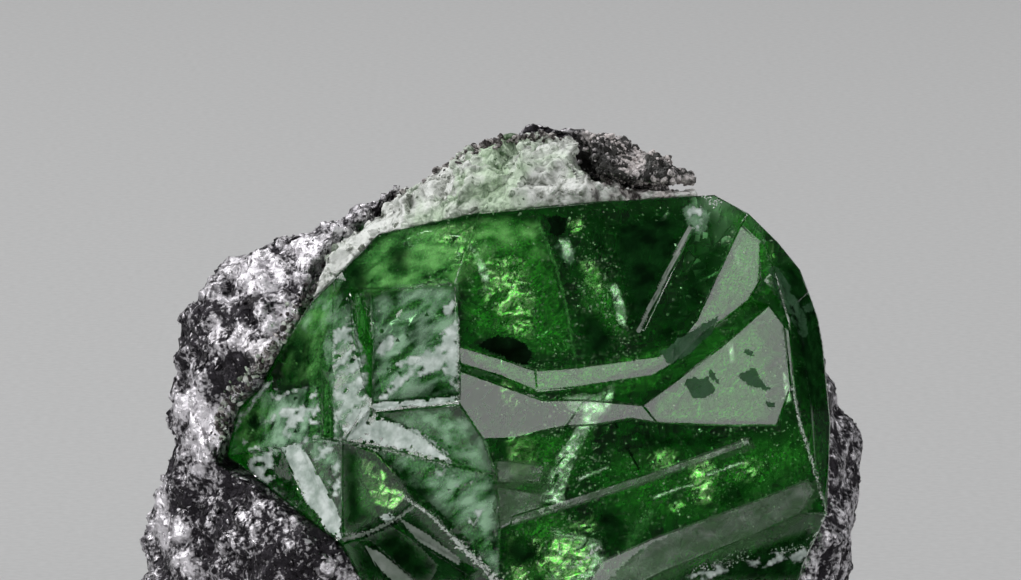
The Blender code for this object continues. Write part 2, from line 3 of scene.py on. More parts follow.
import bmesh
import bpy
import numpy as np
from mathutils import Matrix, Vector, noise
from mathutils.bvhtree import BVHTree

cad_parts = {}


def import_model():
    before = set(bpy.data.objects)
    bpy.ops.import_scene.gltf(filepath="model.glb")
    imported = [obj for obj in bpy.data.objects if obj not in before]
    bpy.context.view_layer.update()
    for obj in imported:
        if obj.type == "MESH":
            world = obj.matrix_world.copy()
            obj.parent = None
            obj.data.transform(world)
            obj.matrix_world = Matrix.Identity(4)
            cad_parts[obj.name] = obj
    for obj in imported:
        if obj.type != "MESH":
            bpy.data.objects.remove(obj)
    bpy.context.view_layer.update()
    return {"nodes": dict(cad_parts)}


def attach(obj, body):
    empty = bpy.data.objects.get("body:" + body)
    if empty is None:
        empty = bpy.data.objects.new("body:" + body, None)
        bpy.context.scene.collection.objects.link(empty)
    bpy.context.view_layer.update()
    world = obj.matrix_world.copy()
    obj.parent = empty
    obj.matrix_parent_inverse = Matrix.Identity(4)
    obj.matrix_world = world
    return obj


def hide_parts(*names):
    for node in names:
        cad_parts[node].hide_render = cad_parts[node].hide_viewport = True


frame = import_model()

# Shapes are drawn in millimetres from the middle of the view's base, and shifted and scaled last
MM = 0.001
SPECIMEN_SHIFT = Vector((0.29, -0.69, 0.0))
SIGHT_DIP = math.radians(8.0)
SIGHT_HEIGHT = 24.0
SEED = 4118
RNG = np.random.default_rng(SEED)
noise.seed_set(SEED)

# Camera
CAMERA_DISTANCE = 0.45
CAMERA_SENSOR = 36.0
VIEW_WIDTH = 0.05105
VIEW_MIDDLE = Vector((0.000275, 0.0, 0.024))

# Outlines on the front are in steps of this many millimetres from the view's top left corner
SIGHT_STEP = 0.05
SIGHT_CORNER = (505, 290)

# Garnet
GARNET_IOR = 1.74
GARNET_DENSITY = 185.0
GARNET_TINT = (0.36, 0.87, 0.36, 1.0)
ETCH_STEP = 0.15
PLAIN_STEP = 3.0
REFINE_ROUNDS = 9
BACK_STEP = 0.33
BACK_ROUGHNESS = 0.5
CRACK_WIDTH = 0.02
SHARP_ANGLE = math.radians(38)
# From what depth the garnet's surface is its broken back, and up to what depth and height on the
# map it can be etched
BACK_START = 0.5
ETCH_START = -1.0
ETCH_TOP = 0.5
# Least room of things inside the garnet: to its surface, to its far side, and of cracks all round
SIDE_ROOM = 0.25
FAR_ROOM = 0.8
CRACK_ROOM = 0.12
# Where the rock is thinnest behind the garnet, and how deep the garnet is hollow there
THIN_BACK = Vector((-9.3, 6.8, 21.3))
BACK_HOLLOW = 1.6

# Size of the faces of the rock and of the crust
STONE_STEP = 0.24
CRUST_STEP = 0.17

# Beside the garnet: how far it is felt, where relief begins and is full, where cuts begin and how
# deep they go, and from where the rock closes in, how far, and what gap is left
GARNET_REACH = 1.2
RELIEF_SPAN = (0.35, 0.9)
CUT_START = 0.4
CUT_SHARE = 0.45
CLOSE_SPAN = (-0.8, -0.5)
CLOSE_MOST = 0.3
GAP_LEFT = 0.03
# Heights over which relief grows from the flat base, and from where flakes lie
BASE_SPAN = (0.02, 0.5)
BASE_CLEAR = 0.25

# How far in front sight lines start, a length beyond all others, and how much the depth of a skin
# or veil may change within one triangle
SIGHT_START = -40.0
FAR = 99.0
STEP_LIMIT = 0.4


def sight_point(u, v, depth):
    """Return the point at (u, v) on the map of the front, at a depth along Y."""
    height = SIGHT_HEIGHT + (v - depth * math.sin(SIGHT_DIP)) / math.cos(SIGHT_DIP)
    return Vector((u, depth, height))


def map_place(point):
    """Return where a point lies on the map of the front: u, v and depth."""
    x, y, z = point
    return x, (z - SIGHT_HEIGHT) * math.cos(SIGHT_DIP) + y * math.sin(SIGHT_DIP), y


def map_places(points):
    """Return u, v and depth of an array of points."""
    v = (points[:, 2] - SIGHT_HEIGHT) * math.cos(SIGHT_DIP) + points[:, 1] * math.sin(SIGHT_DIP)
    return points[:, 0], v, points[:, 1]


def mapped(*points):
    """Return places on the map of the front from steps across and down the view."""
    return [((x - SIGHT_CORNER[0]) * SIGHT_STEP, (SIGHT_CORNER[1] - y) * SIGHT_STEP)
            for x, y in points]


SIGHT = (sight_point(0, 0, 1) - sight_point(0, 0, 0)).normalized()


def direction(azimuth, elevation):
    """Return the unit vector of an azimuth and elevation in degrees, 0 being the front."""
    turn = math.radians(azimuth)
    rise = math.radians(elevation)
    flat = math.cos(rise)
    return Vector((math.sin(turn) * flat, -math.cos(turn) * flat, math.sin(rise)))


def inside(outline, u, v):
    """Return whether a point of the map lies inside an outline."""
    found = False
    for (x0, y0), (x1, y1) in zip(outline, outline[1:] + outline[:1]):
        if (y0 > v) != (y1 > v) and u < x0 + (v - y0) / (y1 - y0) * (x1 - x0):
            found = not found
    return found


def ramp(value, start, end):
    """Return 0 before start, 1 after end and a straight rise between them."""
    return np.clip((value - start) / (end - start), 0.0, 1.0)


def spun(first, second, angle):
    """Return two axes turned by an angle in their own plane."""
    return (first * math.cos(angle) + second * math.sin(angle),
            second * math.cos(angle) - first * math.sin(angle))


def cell(point):
    """Return a random number from 0 to 1 for each unit cube."""
    return 0.5 + 0.5 * noise.cell(point)


def waves(points, size):
    """Return smooth noise of a size at an array of points."""
    return np.array([noise.noise(Vector(point) / size) for point in points])


def bell(u, v, middle_u, middle_v, half_width, half_height):
    """Return a smooth hump on the map for arrays of places."""
    return np.exp(-((u - middle_u) / half_width) ** 2 - ((v - middle_v) / half_height) ** 2)


def lump(point, size, tilt, step):
    """Return the relief of rounded lumps of a size, and how far a place is from their grooves."""
    distances, middles = noise.voronoi(point / size)
    middle = middles[0]
    turn = noise.cell_vector(middle * 13.7) - Vector((0.5, 0.5, 0.5))
    away = point / size - middle
    groove = min((distances[1] - distances[0]) / 0.3, 1.0)
    rise = size * tilt * away.dot(turn) * 2.0 + step * (cell(middle * 5.3) - 0.5)
    return rise + step * (groove * (2.0 - groove) - 0.8), groove


def node_mesh(name):
    """Return a CAD node's shape as a welded mesh in drawn millimetres."""
    bm = bmesh.new()
    bm.from_mesh(frame["nodes"][name].data)
    bmesh.ops.scale(bm, vec=(1 / MM, 1 / MM, 1 / MM), verts=bm.verts[:])
    bmesh.ops.translate(bm, vec=-SPECIMEN_SHIFT, verts=bm.verts[:])
    bmesh.ops.remove_doubles(bm, verts=bm.verts[:], dist=0.001)
    bmesh.ops.triangulate(bm, faces=[face for face in bm.faces if len(face.verts) > 3])
    bm.normal_update()
    return bm


def refine(bm, limit_at):
    """Split edges until none is longer than the limit at its middle."""
    for _ in range(REFINE_ROUNDS):
        long_edges = [edge for edge in bm.edges
                      if edge.calc_length() > limit_at((edge.verts[0].co + edge.verts[1].co) / 2)]
        if not long_edges:
            break
        bmesh.ops.subdivide_edges(bm, edges=long_edges, cuts=1)
        bmesh.ops.triangulate(bm, faces=[face for face in bm.faces if len(face.verts) > 3])
    bm.normal_update()


def mesh_of(bm, name):
    """Return a mesh made from a bmesh, which is freed."""
    mesh = bpy.data.meshes.new(name)
    bm.to_mesh(mesh)
    bm.free()
    return mesh


def mesh_from_arrays(name, verts, faces):
    """Return a triangle mesh made from arrays."""
    mesh = bpy.data.meshes.new(name)
    mesh.vertices.add(len(verts))
    mesh.vertices.foreach_set("co", np.asarray(verts, np.float32).ravel())
    mesh.loops.add(3 * len(faces))
    mesh.loops.foreach_set("vertex_index", np.asarray(faces, np.int32).ravel())
    mesh.polygons.add(len(faces))
    mesh.polygons.foreach_set("loop_start", np.arange(0, 3 * len(faces), 3, dtype=np.int32))
    mesh.update(calc_edges=True)
    return mesh


def arrays_of(mesh):
    """Return a mesh's vertex places, vertex normals and triangles."""
    count = len(mesh.vertices)
    places = np.empty(3 * count, np.float32)
    mesh.vertices.foreach_get("co", places)
    normals = np.empty(3 * count, np.float32)
    mesh.vertices.foreach_get("normal", normals)
    mesh.calc_loop_triangles()
    faces = np.empty(3 * len(mesh.loop_triangles), np.int32)
    mesh.loop_triangles.foreach_get("vertices", faces)
    return (places.reshape(-1, 3).astype(float), normals.reshape(-1, 3).astype(float),
            faces.reshape(-1, 3))


def add_piece(name, mesh, made, smooth=False):
    """Put a finished mesh in the scene as a piece that rides on the specimen."""
    mesh.transform(Matrix.Scale(MM, 4) @ Matrix.Translation(SPECIMEN_SHIFT))
    mesh.materials.clear()
    mesh.materials.append(made)
    if smooth is not None:
        mesh.polygons.foreach_set("use_smooth", [smooth] * len(mesh.polygons))
    obj = bpy.data.objects.new(name, mesh)
    bpy.context.scene.collection.objects.link(obj)
    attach(obj, "root")
    return obj


def set_values(mesh, per=1, **named):
    """Store numbers under names that a material can read, each one for so many vertices."""
    for name, values in named.items():
        attribute = mesh.attributes.new(name, "FLOAT", "POINT")
        attribute.data.foreach_set("value", np.repeat(np.asarray(values, np.float32), per))


# Materials


class Nodes:
    """Short calls for building a material's nodes."""

    def __init__(self, name):
        self.made = bpy.data.materials.new(name)
        self.made.use_nodes = True
        self.tree = self.made.node_tree
        self.shader = self.tree.nodes["Principled BSDF"]

    def put(self, value, socket):
        """Give a socket a plain value, or link it to the node that makes the value."""
        if isinstance(value, bpy.types.NodeSocket):
            self.tree.links.new(value, socket)
        else:
            socket.default_value = value

    def node(self, kind, inputs=None, **settings):
        """Return a new node with its settings and inputs."""
        made = self.tree.nodes.new(kind)
        for key, value in settings.items():
            setattr(made, key, value)
        for key, value in (inputs or {}).items():
            self.put(value, made.inputs[key])
        return made

    def set(self, **values):
        """Set inputs of the material's shader."""
        for key, value in values.items():
            self.put(value, self.shader.inputs[key.replace("_", " ")])

    def place(self):
        """Return the place on the object in millimetres, with its middle at the base."""
        coords = self.node("ShaderNodeTexCoord").outputs["Object"]
        return self.node("ShaderNodeVectorMath", {0: coords, 1: (1 / MM,) * 3},
                         operation="MULTIPLY").outputs[0]

    def slanted(self, slant, length):
        """Return the place drawn out along a slanted line."""
        return self.node("ShaderNodeMapping", {0: self.place(), "Rotation": (0.0, slant, 0.0),
                                               "Scale": (length, 1.0, 1.0)},
                         vector_type="TEXTURE").outputs[0]

    def noise(self, scale, detail=2.0, place=None, **more):
        """Return smooth noise of a scale."""
        inputs = {"Vector": place or self.place(), "Scale": scale, "Detail": detail, **more}
        return self.node("ShaderNodeTexNoise", inputs).outputs["Fac"]

    def blend(self, factor, low, high):
        """Return a colour between two others."""
        return self.node("ShaderNodeMix", {0: factor, 6: low, 7: high},
                         data_type="RGBA").outputs[2]

    def span(self, value, start, end, low=0.0, high=1.0):
        """Map a value from one span to another, held at its ends."""
        return self.node("ShaderNodeMapRange", {"Value": value, "From Min": start,
                                                "From Max": end, "To Min": low,
                                                "To Max": high}).outputs["Result"]

    def value(self, name):
        """Return the number stored under a name on the mesh."""
        return self.node("ShaderNodeAttribute", attribute_name=name).outputs["Fac"]

    def math(self, operation, first, second):
        """Return the result of a sum or product."""
        return self.node("ShaderNodeMath", {0: first, 1: second}, operation=operation).outputs[0]

    def bump(self, height, distance, strength=1.0):
        """Return a surface direction with fine relief."""
        return self.node("ShaderNodeBump", {"Height": height, "Distance": distance,
                                            "Strength": strength}).outputs["Normal"]


def garnet_material():
    """Clear green garnet, polished in front and rough where it grew against the rock."""
    n = Nodes("garnet")
    n.set(Base_Color=(0.93, 1.0, 0.94, 1.0), Transmission_Weight=1.0, IOR=GARNET_IOR)
    n.set(Roughness=n.span(n.value("rough"), 0.0, 1.0, 0.015, BACK_ROUGHNESS))
    absorbed = n.node("ShaderNodeVolumeAbsorption", {"Color": GARNET_TINT,
                                                     "Density": GARNET_DENSITY})
    n.tree.links.new(absorbed.outputs["Volume"], n.tree.nodes["Material Output"].inputs["Volume"])
    return n.made


def graphite_material(name, dark, bright, roughness, grain):
    """Graphite with a metal shine, in places stained brown, its tone holding painted shade and painted
    highlights.
    """
    n = Nodes(name)
    grainy = n.math("ADD", n.span(n.noise(1.1, 4.0), 0.35, 0.65, -0.3, 0.3),
                    n.span(n.noise(4.5, 6.0), 0.4, 0.62, -0.4, 0.45))
    grainy = n.math("MULTIPLY", grainy, n.span(n.value("calm"), 0.0, 1.0, 1.0, 0.35))
    tone = n.math("ADD", n.value("tone"), grainy)
    colour = n.blend(n.span(tone, 0.0, 0.95), dark, bright)
    stained = n.blend(n.span(tone, 0.15, 0.85), (0.035, 0.035, 0.03, 1.0), (0.80, 0.73, 0.71, 1.0))
    n.set(Base_Color=n.blend(n.value("stain"), colour, stained))
    n.set(Metallic=n.span(n.value("stain"), 0.0, 1.0, 0.9, 0.1))
    n.set(Roughness=n.span(n.noise(3.3, 4.0), 0.35, 0.65, roughness - 0.14, roughness + 0.2))
    n.set(Normal=n.bump(n.noise(grain, 8.0), 0.00022, 1.0))
    return n.made


def quartz_material(name):
    """Pale granular quartz, greener in patches, its tone holding painted shade in the grain grooves."""
    n = Nodes(name)
    wisp = n.noise(2.2, 6.0, Distortion=1.2)
    tone = n.math("ADD", n.value("tone"), n.span(wisp, 0.35, 0.65, -0.45, 0.4))
    pale = n.blend(n.span(tone, 0.0, 1.0), (0.16, 0.18, 0.14, 1.0), (0.95, 0.97, 0.93, 1.0))
    green = n.blend(n.span(tone, 0.0, 1.0), (0.07, 0.14, 0.06, 1.0), (0.66, 0.82, 0.60, 1.0))
    brown = n.blend(n.span(tone, 0.4, 1.2), (0.03, 0.022, 0.02, 1.0), (0.75, 0.70, 0.68, 1.0))
    n.set(Base_Color=n.blend(n.value("brown"), n.blend(n.value("stain"), pale, green), brown))
    n.set(Roughness=n.span(n.noise(3.1, 3.0), 0.3, 0.7, 0.2, 0.5))
    n.set(Normal=n.bump(n.noise(5.0, 6.0), 0.00012, 0.8))
    return n.made


def skin_material(name, low, high, alpha, streak, fade):
    """A skin on the garnet, thicker and thinner in patches: frost, or in places a painted highlight or
    painted shade.
    """
    n = Nodes(name)
    patch = n.noise(1.6, 8.0, n.slanted(-0.52, streak))
    n.set(Base_Color=n.blend(n.span(patch, 0.35, 0.65), low, high), Roughness=0.5)
    n.set(Specular_IOR_Level=0.0 if max(high[:3]) < 0.2 else 0.5)
    cover = n.span(n.value("cover"), 0.0, 1.0, 1.0 - fade, 1.0)
    n.set(Alpha=n.math("MULTIPLY", n.span(patch, 0.35, 0.65, *alpha), cover))
    n.set(Normal=n.bump(n.noise(5.0, 4.0), 0.00004, 0.8))
    return n.made


def plain_material(name, colour, roughness, metallic=0.0, alpha=1.0):
    """A material that varies only a little."""
    n = Nodes(name)
    darker = tuple(0.8 * part for part in colour)
    n.set(Base_Color=n.blend(n.noise(1.9, 3.0), (*darker, 1.0), (*colour, 1.0)))
    n.set(Roughness=roughness, Metallic=metallic, Alpha=alpha)
    return n.made


# Garnet

# The part of the map where the garnet's front is etched
ETCHED = mapped((205, 170), (459, 170), (461, 402), (484, 436), (499, 470), (500, 578),
                (415, 496), (345, 436), (345, 560), (205, 490))


def is_etched(u, v, depth):
    """Return whether a place on the garnet is on its etched faces."""
    return inside(ETCHED, u, v) and depth < ETCH_START and v < ETCH_TOP


def etch_limit(point):
    """Return the longest edge wanted at a point of the garnet."""
    u, v, depth = map_place(point)
    if depth > BACK_START:
        return BACK_STEP
    return ETCH_STEP if is_etched(u, v, depth) else PLAIN_STEP


def etch_height(point):
    """Return the relief of the etched faces at a point."""
    streak = Vector((point.x * 0.8 - point.z * 0.6, point.y, point.x * 0.6 + point.z * 0.8))
    lines = noise.noise(Vector((streak.x / 0.5, streak.y, streak.z / 1.6)))
    fine = noise.noise(point / 0.33)
    distances, _ = noise.voronoi(point / 0.55)
    pit = min(distances[0] / 0.28, 1.0) - 1.0
    return 0.035 * lines + 0.008 * fine + 0.03 * pit


def back_depth(point, depth):
    """Return how far the garnet's broken back lies under its smooth shape."""
    bent = point + 0.5 * noise.noise_vector(point / 1.8)
    broad, _ = lump(bent, 3.2, 0.5, 0.5)
    small, _ = lump(bent, 1.2, 0.35, 0.12)
    fine = 0.12 * abs(noise.noise(point / 0.6))
    hollow = BACK_HOLLOW * math.exp(-(point - THIN_BACK).length_squared / 1.5 ** 2)
    return max(0.7 + broad + small + fine, 0.0) * min((depth - BACK_START) / 2.0, 1.0) + hollow


def shell_arrays(verts, normals, faces, lift, sink):
    """Return closed thin shells over a set of triangles."""
    used, flat = np.unique(faces, return_inverse=True)
    flat = flat.reshape(-1, 3)
    top = verts[used] + normals[used] * lift
    low = verts[used] - normals[used] * sink
    count = len(used)
    edges = np.concatenate([flat[:, [0, 1]], flat[:, [1, 2]], flat[:, [2, 0]]])
    seen = {(a, b) for a, b in edges.tolist()}
    rim = np.array(sorted((a, b) for a, b in seen if (b, a) not in seen), int).reshape(-1, 2)
    a, b = rim[:, 0], rim[:, 1]
    sides = np.concatenate([np.stack([b, a, a + count], 1), np.stack([b, a + count, b + count], 1)])
    return np.concatenate([top, low]), np.concatenate([flat, flat[:, ::-1] + count, sides])


def garnet_shape():
    """Build the garnet with its etched faces and broken back."""
    bm = node_mesh("tsavorite_crystal")
    refine(bm, etch_limit)
    rough = bm.verts.layers.float.new("rough")
    moves = []
    for vert in bm.verts:
        u, v, depth = map_place(vert.co)
        vert[rough] = min(max(depth - 0.3, 0.0), 1.0)
        if depth > BACK_START:
            moves.append((vert, vert.normal * -back_depth(vert.co, depth)))
        elif is_etched(u, v, depth):
            moves.append((vert, vert.normal * (etch_height(vert.co) - 0.02)))
    for vert, move in moves:
        vert.co += move
    bm.normal_update()
    for face in bm.faces:
        u, v, depth = map_place(face.calc_center_median())
        face.smooth = depth > BACK_START or is_etched(u, v, depth)
    for edge in bm.edges:
        flat = not all(face.smooth for face in edge.link_faces)
        edge.smooth = not flat and edge.calc_face_angle(math.pi) < SHARP_ANGLE
    return bm


def front_hit(u, v):
    """Return where the sight line at (u, v) meets the garnet, and the direction it faces."""
    return garnet_tree.ray_cast(sight_point(u, v, SIGHT_START), SIGHT)[:2]


def room_behind(place):
    """Return how far the garnet goes on behind a place on its front, or None."""
    return garnet_tree.ray_cast(place + SIGHT * 0.01, SIGHT)[3]


def inner_place(x, y, under):
    """Return the place so deep behind a place on the view, or None near the garnet's surface."""
    (u, v), = mapped((x, y))
    place, _ = front_hit(u, v)
    if place is None:
        return None
    through = room_behind(place)
    if through is None or through < under + FAR_ROOM:
        return None
    found = place + SIGHT * under
    return found if garnet_tree.find_nearest(found)[3] > SIDE_ROOM else None


def sheet(centre, facing, spin, halves, relief, step, seed):
    """Return a closed thin sheet with a ragged outline and a crumpled surface."""
    third = facing.normalized()
    first = third.cross(Vector((0.3, 0.2, 1.0))).normalized()
    second = third.cross(first)
    first, second = spun(first, second, math.radians(spin))
    counts = [max(int(2 * half / step), 2) for half in halves]
    steps = [np.linspace(-half, half, count + 1) for half, count in zip(halves, counts)]
    verts = []
    for a in steps[0]:
        for b in steps[1]:
            place = Vector((a / 1.1, b / 1.1, seed))
            rise = noise.noise(place * 0.8) + 0.3 * noise.noise(place * 2.6)
            verts.append(centre + first * a + second * b + third * relief * rise)
    verts = np.array(verts)
    across = counts[1] + 1
    faces = []
    for i in range(counts[0]):
        for j in range(counts[1]):
            a = (steps[0][i] + steps[0][i + 1]) / 2
            b = (steps[1][j] + steps[1][j + 1]) / 2
            edge = 1.0 - (a / halves[0]) ** 2 - (b / halves[1]) ** 2
            if edge + 0.55 * noise.noise(Vector((a / 0.7, b / 0.7, seed + 9.0))) < 0.12:
                continue
            k = i * across + j
            faces += [(k, k + across, k + across + 1), (k, k + across + 1, k + 1)]
    if not faces:
        return np.zeros((0, 3)), np.zeros((0, 3), int)
    normals = np.tile(np.array(third), (len(verts), 1))
    return shell_arrays(verts, normals, np.array(faces), CRACK_WIDTH / 2, CRACK_WIDTH / 2)


def is_within(place):
    """Return whether a place lies well inside the garnet."""
    point = Vector(place)
    if garnet_tree.find_nearest(point)[3] <= CRACK_ROOM:
        return False
    way_out = garnet_tree.ray_cast(point, SIGHT)[1]
    return way_out is not None and way_out.dot(SIGHT) > 0


# Cracks inside the garnet: place on the view, depth under the front, facing azimuth and
# elevation, spin, half length and half width, relief
CRACKS = [
    (556, 545, 1.5, 5, 22, 20, 2.0, 1.0, 0.15), (512, 315, 2.4, 8, 30, 85, 1.5, 0.6, 0.12),
    (440, 255, 1.9, -20, 34, 15, 2.0, 0.9, 0.14), (520, 452, 1.8, 5, 34, 85, 1.1, 0.4, 0.12),
    (697, 478, 2.1, 0, 36, 80, 1.0, 0.35, 0.12), (545, 365, 5.0, 0, 40, 20, 2.4, 1.2, 0.2),
    (700, 525, 3.4, 10, 36, 15, 2.2, 0.8, 0.16), (420, 330, 2.6, -30, 36, 30, 1.8, 0.8, 0.16),
    (270, 430, 1.4, -50, 32, 50, 0.8, 0.4, 0.12),
]

# Walls of older growth, seen edge on: place on the view, depth, facing azimuth, half sizes
WALLS = [(560, 300, 2.6, 82, 3.6, 2.0), (577, 470, 3.0, 96, 3.4, 1.8),
         (720, 330, 2.6, 84, 4.6, 1.8)]

CRACK_STEP = 0.13
WALL_STEP = 0.4
WALL_RELIEF = 0.06

# Fine glints inside the garnet: place on the view, spread across and down, depth and how many
GLINTS = [(566, 440, 30, 60, 1.5, 40), (505, 295, 22, 40, 1.8, 50), (548, 550, 45, 26, 1.5, 50),
          (585, 290, 30, 45, 1.8, 30), (690, 465, 80, 28, 1.8, 50), (440, 265, 45, 35, 1.4, 40),
          (660, 280, 50, 60, 3.0, 20), (430, 420, 60, 90, 1.2, 40), (600, 400, 160, 130, 4.0, 70)]


def crack_arrays():
    """Return all the cracks inside the garnet."""
    parts = []
    for seed, (x, y, under, azimuth, rise, spin, a, b, relief) in enumerate(CRACKS):
        centre = inner_place(x, y, under)
        if centre is not None:
            parts.append(sheet(centre, direction(azimuth, rise), spin, (a, b), relief, CRACK_STEP,
                               3.7 * seed))
    for seed, (x, y, under, azimuth, a, b) in enumerate(WALLS):
        centre = inner_place(x, y, under)
        if centre is not None:
            parts.append(sheet(centre, direction(azimuth, 0), 90, (b, a), WALL_RELIEF, WALL_STEP,
                               50.0 + seed))
    return parts


def glint_arrays():
    """Return small flat hollows scattered inside the garnet."""
    shapes, shape_faces = flake_shapes(6, FLAT, 8)
    parts = []
    for x, y, across, down, under, count in GLINTS:
        for _ in range(count):
            px, py = RNG.normal(x, across * 0.6), RNG.normal(y, down * 0.6)
            depth = max(0.3, RNG.normal(under, under * 0.4))
            size = 0.04 + 0.22 * RNG.random() ** 2.5
            lean = direction(RNG.normal(5, 45), RNG.normal(32, 22))
            kind = RNG.integers(0, len(shapes))
            spin = RNG.uniform(0, math.tau)
            centre = inner_place(px, py, depth)
            if centre is None:
                continue
            first = lean.orthogonal().normalized()
            first, second = spun(first, lean.cross(first), spin)
            local = np.array(shapes[kind]) * (size, size * 0.6, 0.14 * size)
            world = (local[:, 0:1] * np.array(first) + local[:, 1:2] * np.array(second)
                     + local[:, 2:3] * np.array(lean) + np.array(centre))
            parts.append((world, shape_faces))
    return parts


def joined(parts):
    """Return the arrays of several bodies as one."""
    verts, faces, start = [], [], 0
    for part_verts, part_faces in parts:
        if len(part_faces):
            verts.append(part_verts)
            faces.append(part_faces + start)
            start += len(part_verts)
    return np.concatenate(verts), np.concatenate(faces)


def flake_shapes(sides, rings, count):
    """Return several flake outlines as vertex sets with shared faces."""
    angles = np.arange(sides) * math.tau / sides
    shapes = []
    for _ in range(count):
        radius = 1.0 + RNG.uniform(-0.28, 0.22, sides)
        turned = angles + RNG.uniform(-0.2, 0.2, sides)
        rim = np.stack([radius * np.cos(turned), radius * np.sin(turned)], 1)
        slope = RNG.uniform(-0.12, 0.12, 2)
        layers = []
        for scale, height in rings:
            flat = rim * scale
            layers.append(np.column_stack([flat, height + flat @ slope]))
        top = np.array([[0.0, 0.0, rings[-1][1] + 0.05]])
        shapes.append(np.concatenate(layers + [top]))
    faces = []
    for i in range(sides):
        j = (i + 1) % sides
        for layer in range(len(rings) - 1):
            low, high = layer * sides, (layer + 1) * sides
            faces += [(low + i, low + j, high + j), (low + i, high + j, high + i)]
        last = (len(rings) - 1) * sides
        faces.append((last + i, last + j, len(rings) * sides))
    faces += [(0, i + 1, i) for i in range(1, sides - 1)]
    return shapes, np.array(faces)


# Rings of a body: how wide and how high, in its own radius
FLAT = [(1.0, 0.0)]
PLATE = [(1.0, -0.1), (0.88, 0.03), (0.5, 0.08)]
CHIP = [(1.0, -0.25), (0.7, 0.3)]
GRAIN = [(0.8, -0.5), (1.0, 0.1), (0.6, 0.55)]


def random_turns(normals, spread):
    """Return frames whose third axis leans from each normal by a random angle."""
    count = len(normals)
    lean = normals + RNG.normal(0.0, 1.0, (count, 3)) * np.tan(spread)[:, None] * 0.6
    third = lean / np.linalg.norm(lean, axis=1)[:, None]
    seed = RNG.normal(0.0, 1.0, (count, 3))
    first = np.cross(third, seed)
    first /= np.linalg.norm(first, axis=1)[:, None]
    second = np.cross(third, first)
    return first, second, third


def scatter(name, kinds, places, leaning, spread, radius, spans):
    """Return a mesh with one of several bodies at every place, and how many vertices each has."""
    count = len(places)
    sizes = np.stack([radius * (RNG.uniform(*span, count) if isinstance(span, tuple) else span)
                      for span in spans], 1)
    first, second, third = random_turns(leaning, np.full(count, spread))
    shapes, faces = kinds
    local = np.array(shapes)[RNG.integers(0, len(shapes), count)] * sizes[:, None, :]
    world = (local[:, :, 0:1] * first[:, None] + local[:, :, 1:2] * second[:, None]
             + local[:, :, 2:3] * third[:, None] + places[:, None])
    per = local.shape[1]
    every = faces[None] + (np.arange(count) * per)[:, None, None]
    return mesh_from_arrays(name, world.reshape(-1, 3), every.reshape(-1, 3)), per


def inner_cracks():
    """Return a mesh of the cracks and hollows that lie wholly inside the garnet."""
    verts, faces = joined(crack_arrays() + glint_arrays())
    mesh = mesh_from_arrays("cracks", verts, faces[:, ::-1])
    bm = bmesh.new()
    bm.from_mesh(mesh)
    bm.verts.ensure_lookup_table()
    stack = [i for i, place in enumerate(verts) if not is_within(place)]
    reached = set(stack)
    while stack:
        vert = bm.verts[stack.pop()]
        others = {edge.other_vert(vert).index for edge in vert.link_edges} - reached
        reached |= others
        stack += others
    bmesh.ops.delete(bm, geom=[bm.verts[i] for i in sorted(reached)], context="VERTS")
    bm.to_mesh(mesh)
    bm.free()
    return mesh


garnet_bm = garnet_shape()
garnet_tree = BVHTree.FromBMesh(garnet_bm)
garnet_bm.from_mesh(inner_cracks())
garnet = add_piece("garnet", mesh_of(garnet_bm, "garnet"), garnet_material(),
                   None)
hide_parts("tsavorite_crystal")


# Skins on the garnet's front: frost, painted highlights and painted shade

WHITE, HAZE, CLOUDY, DULL_SHADE, SHADE, LINE, DARK_SHADE, HOLLOW = range(8)
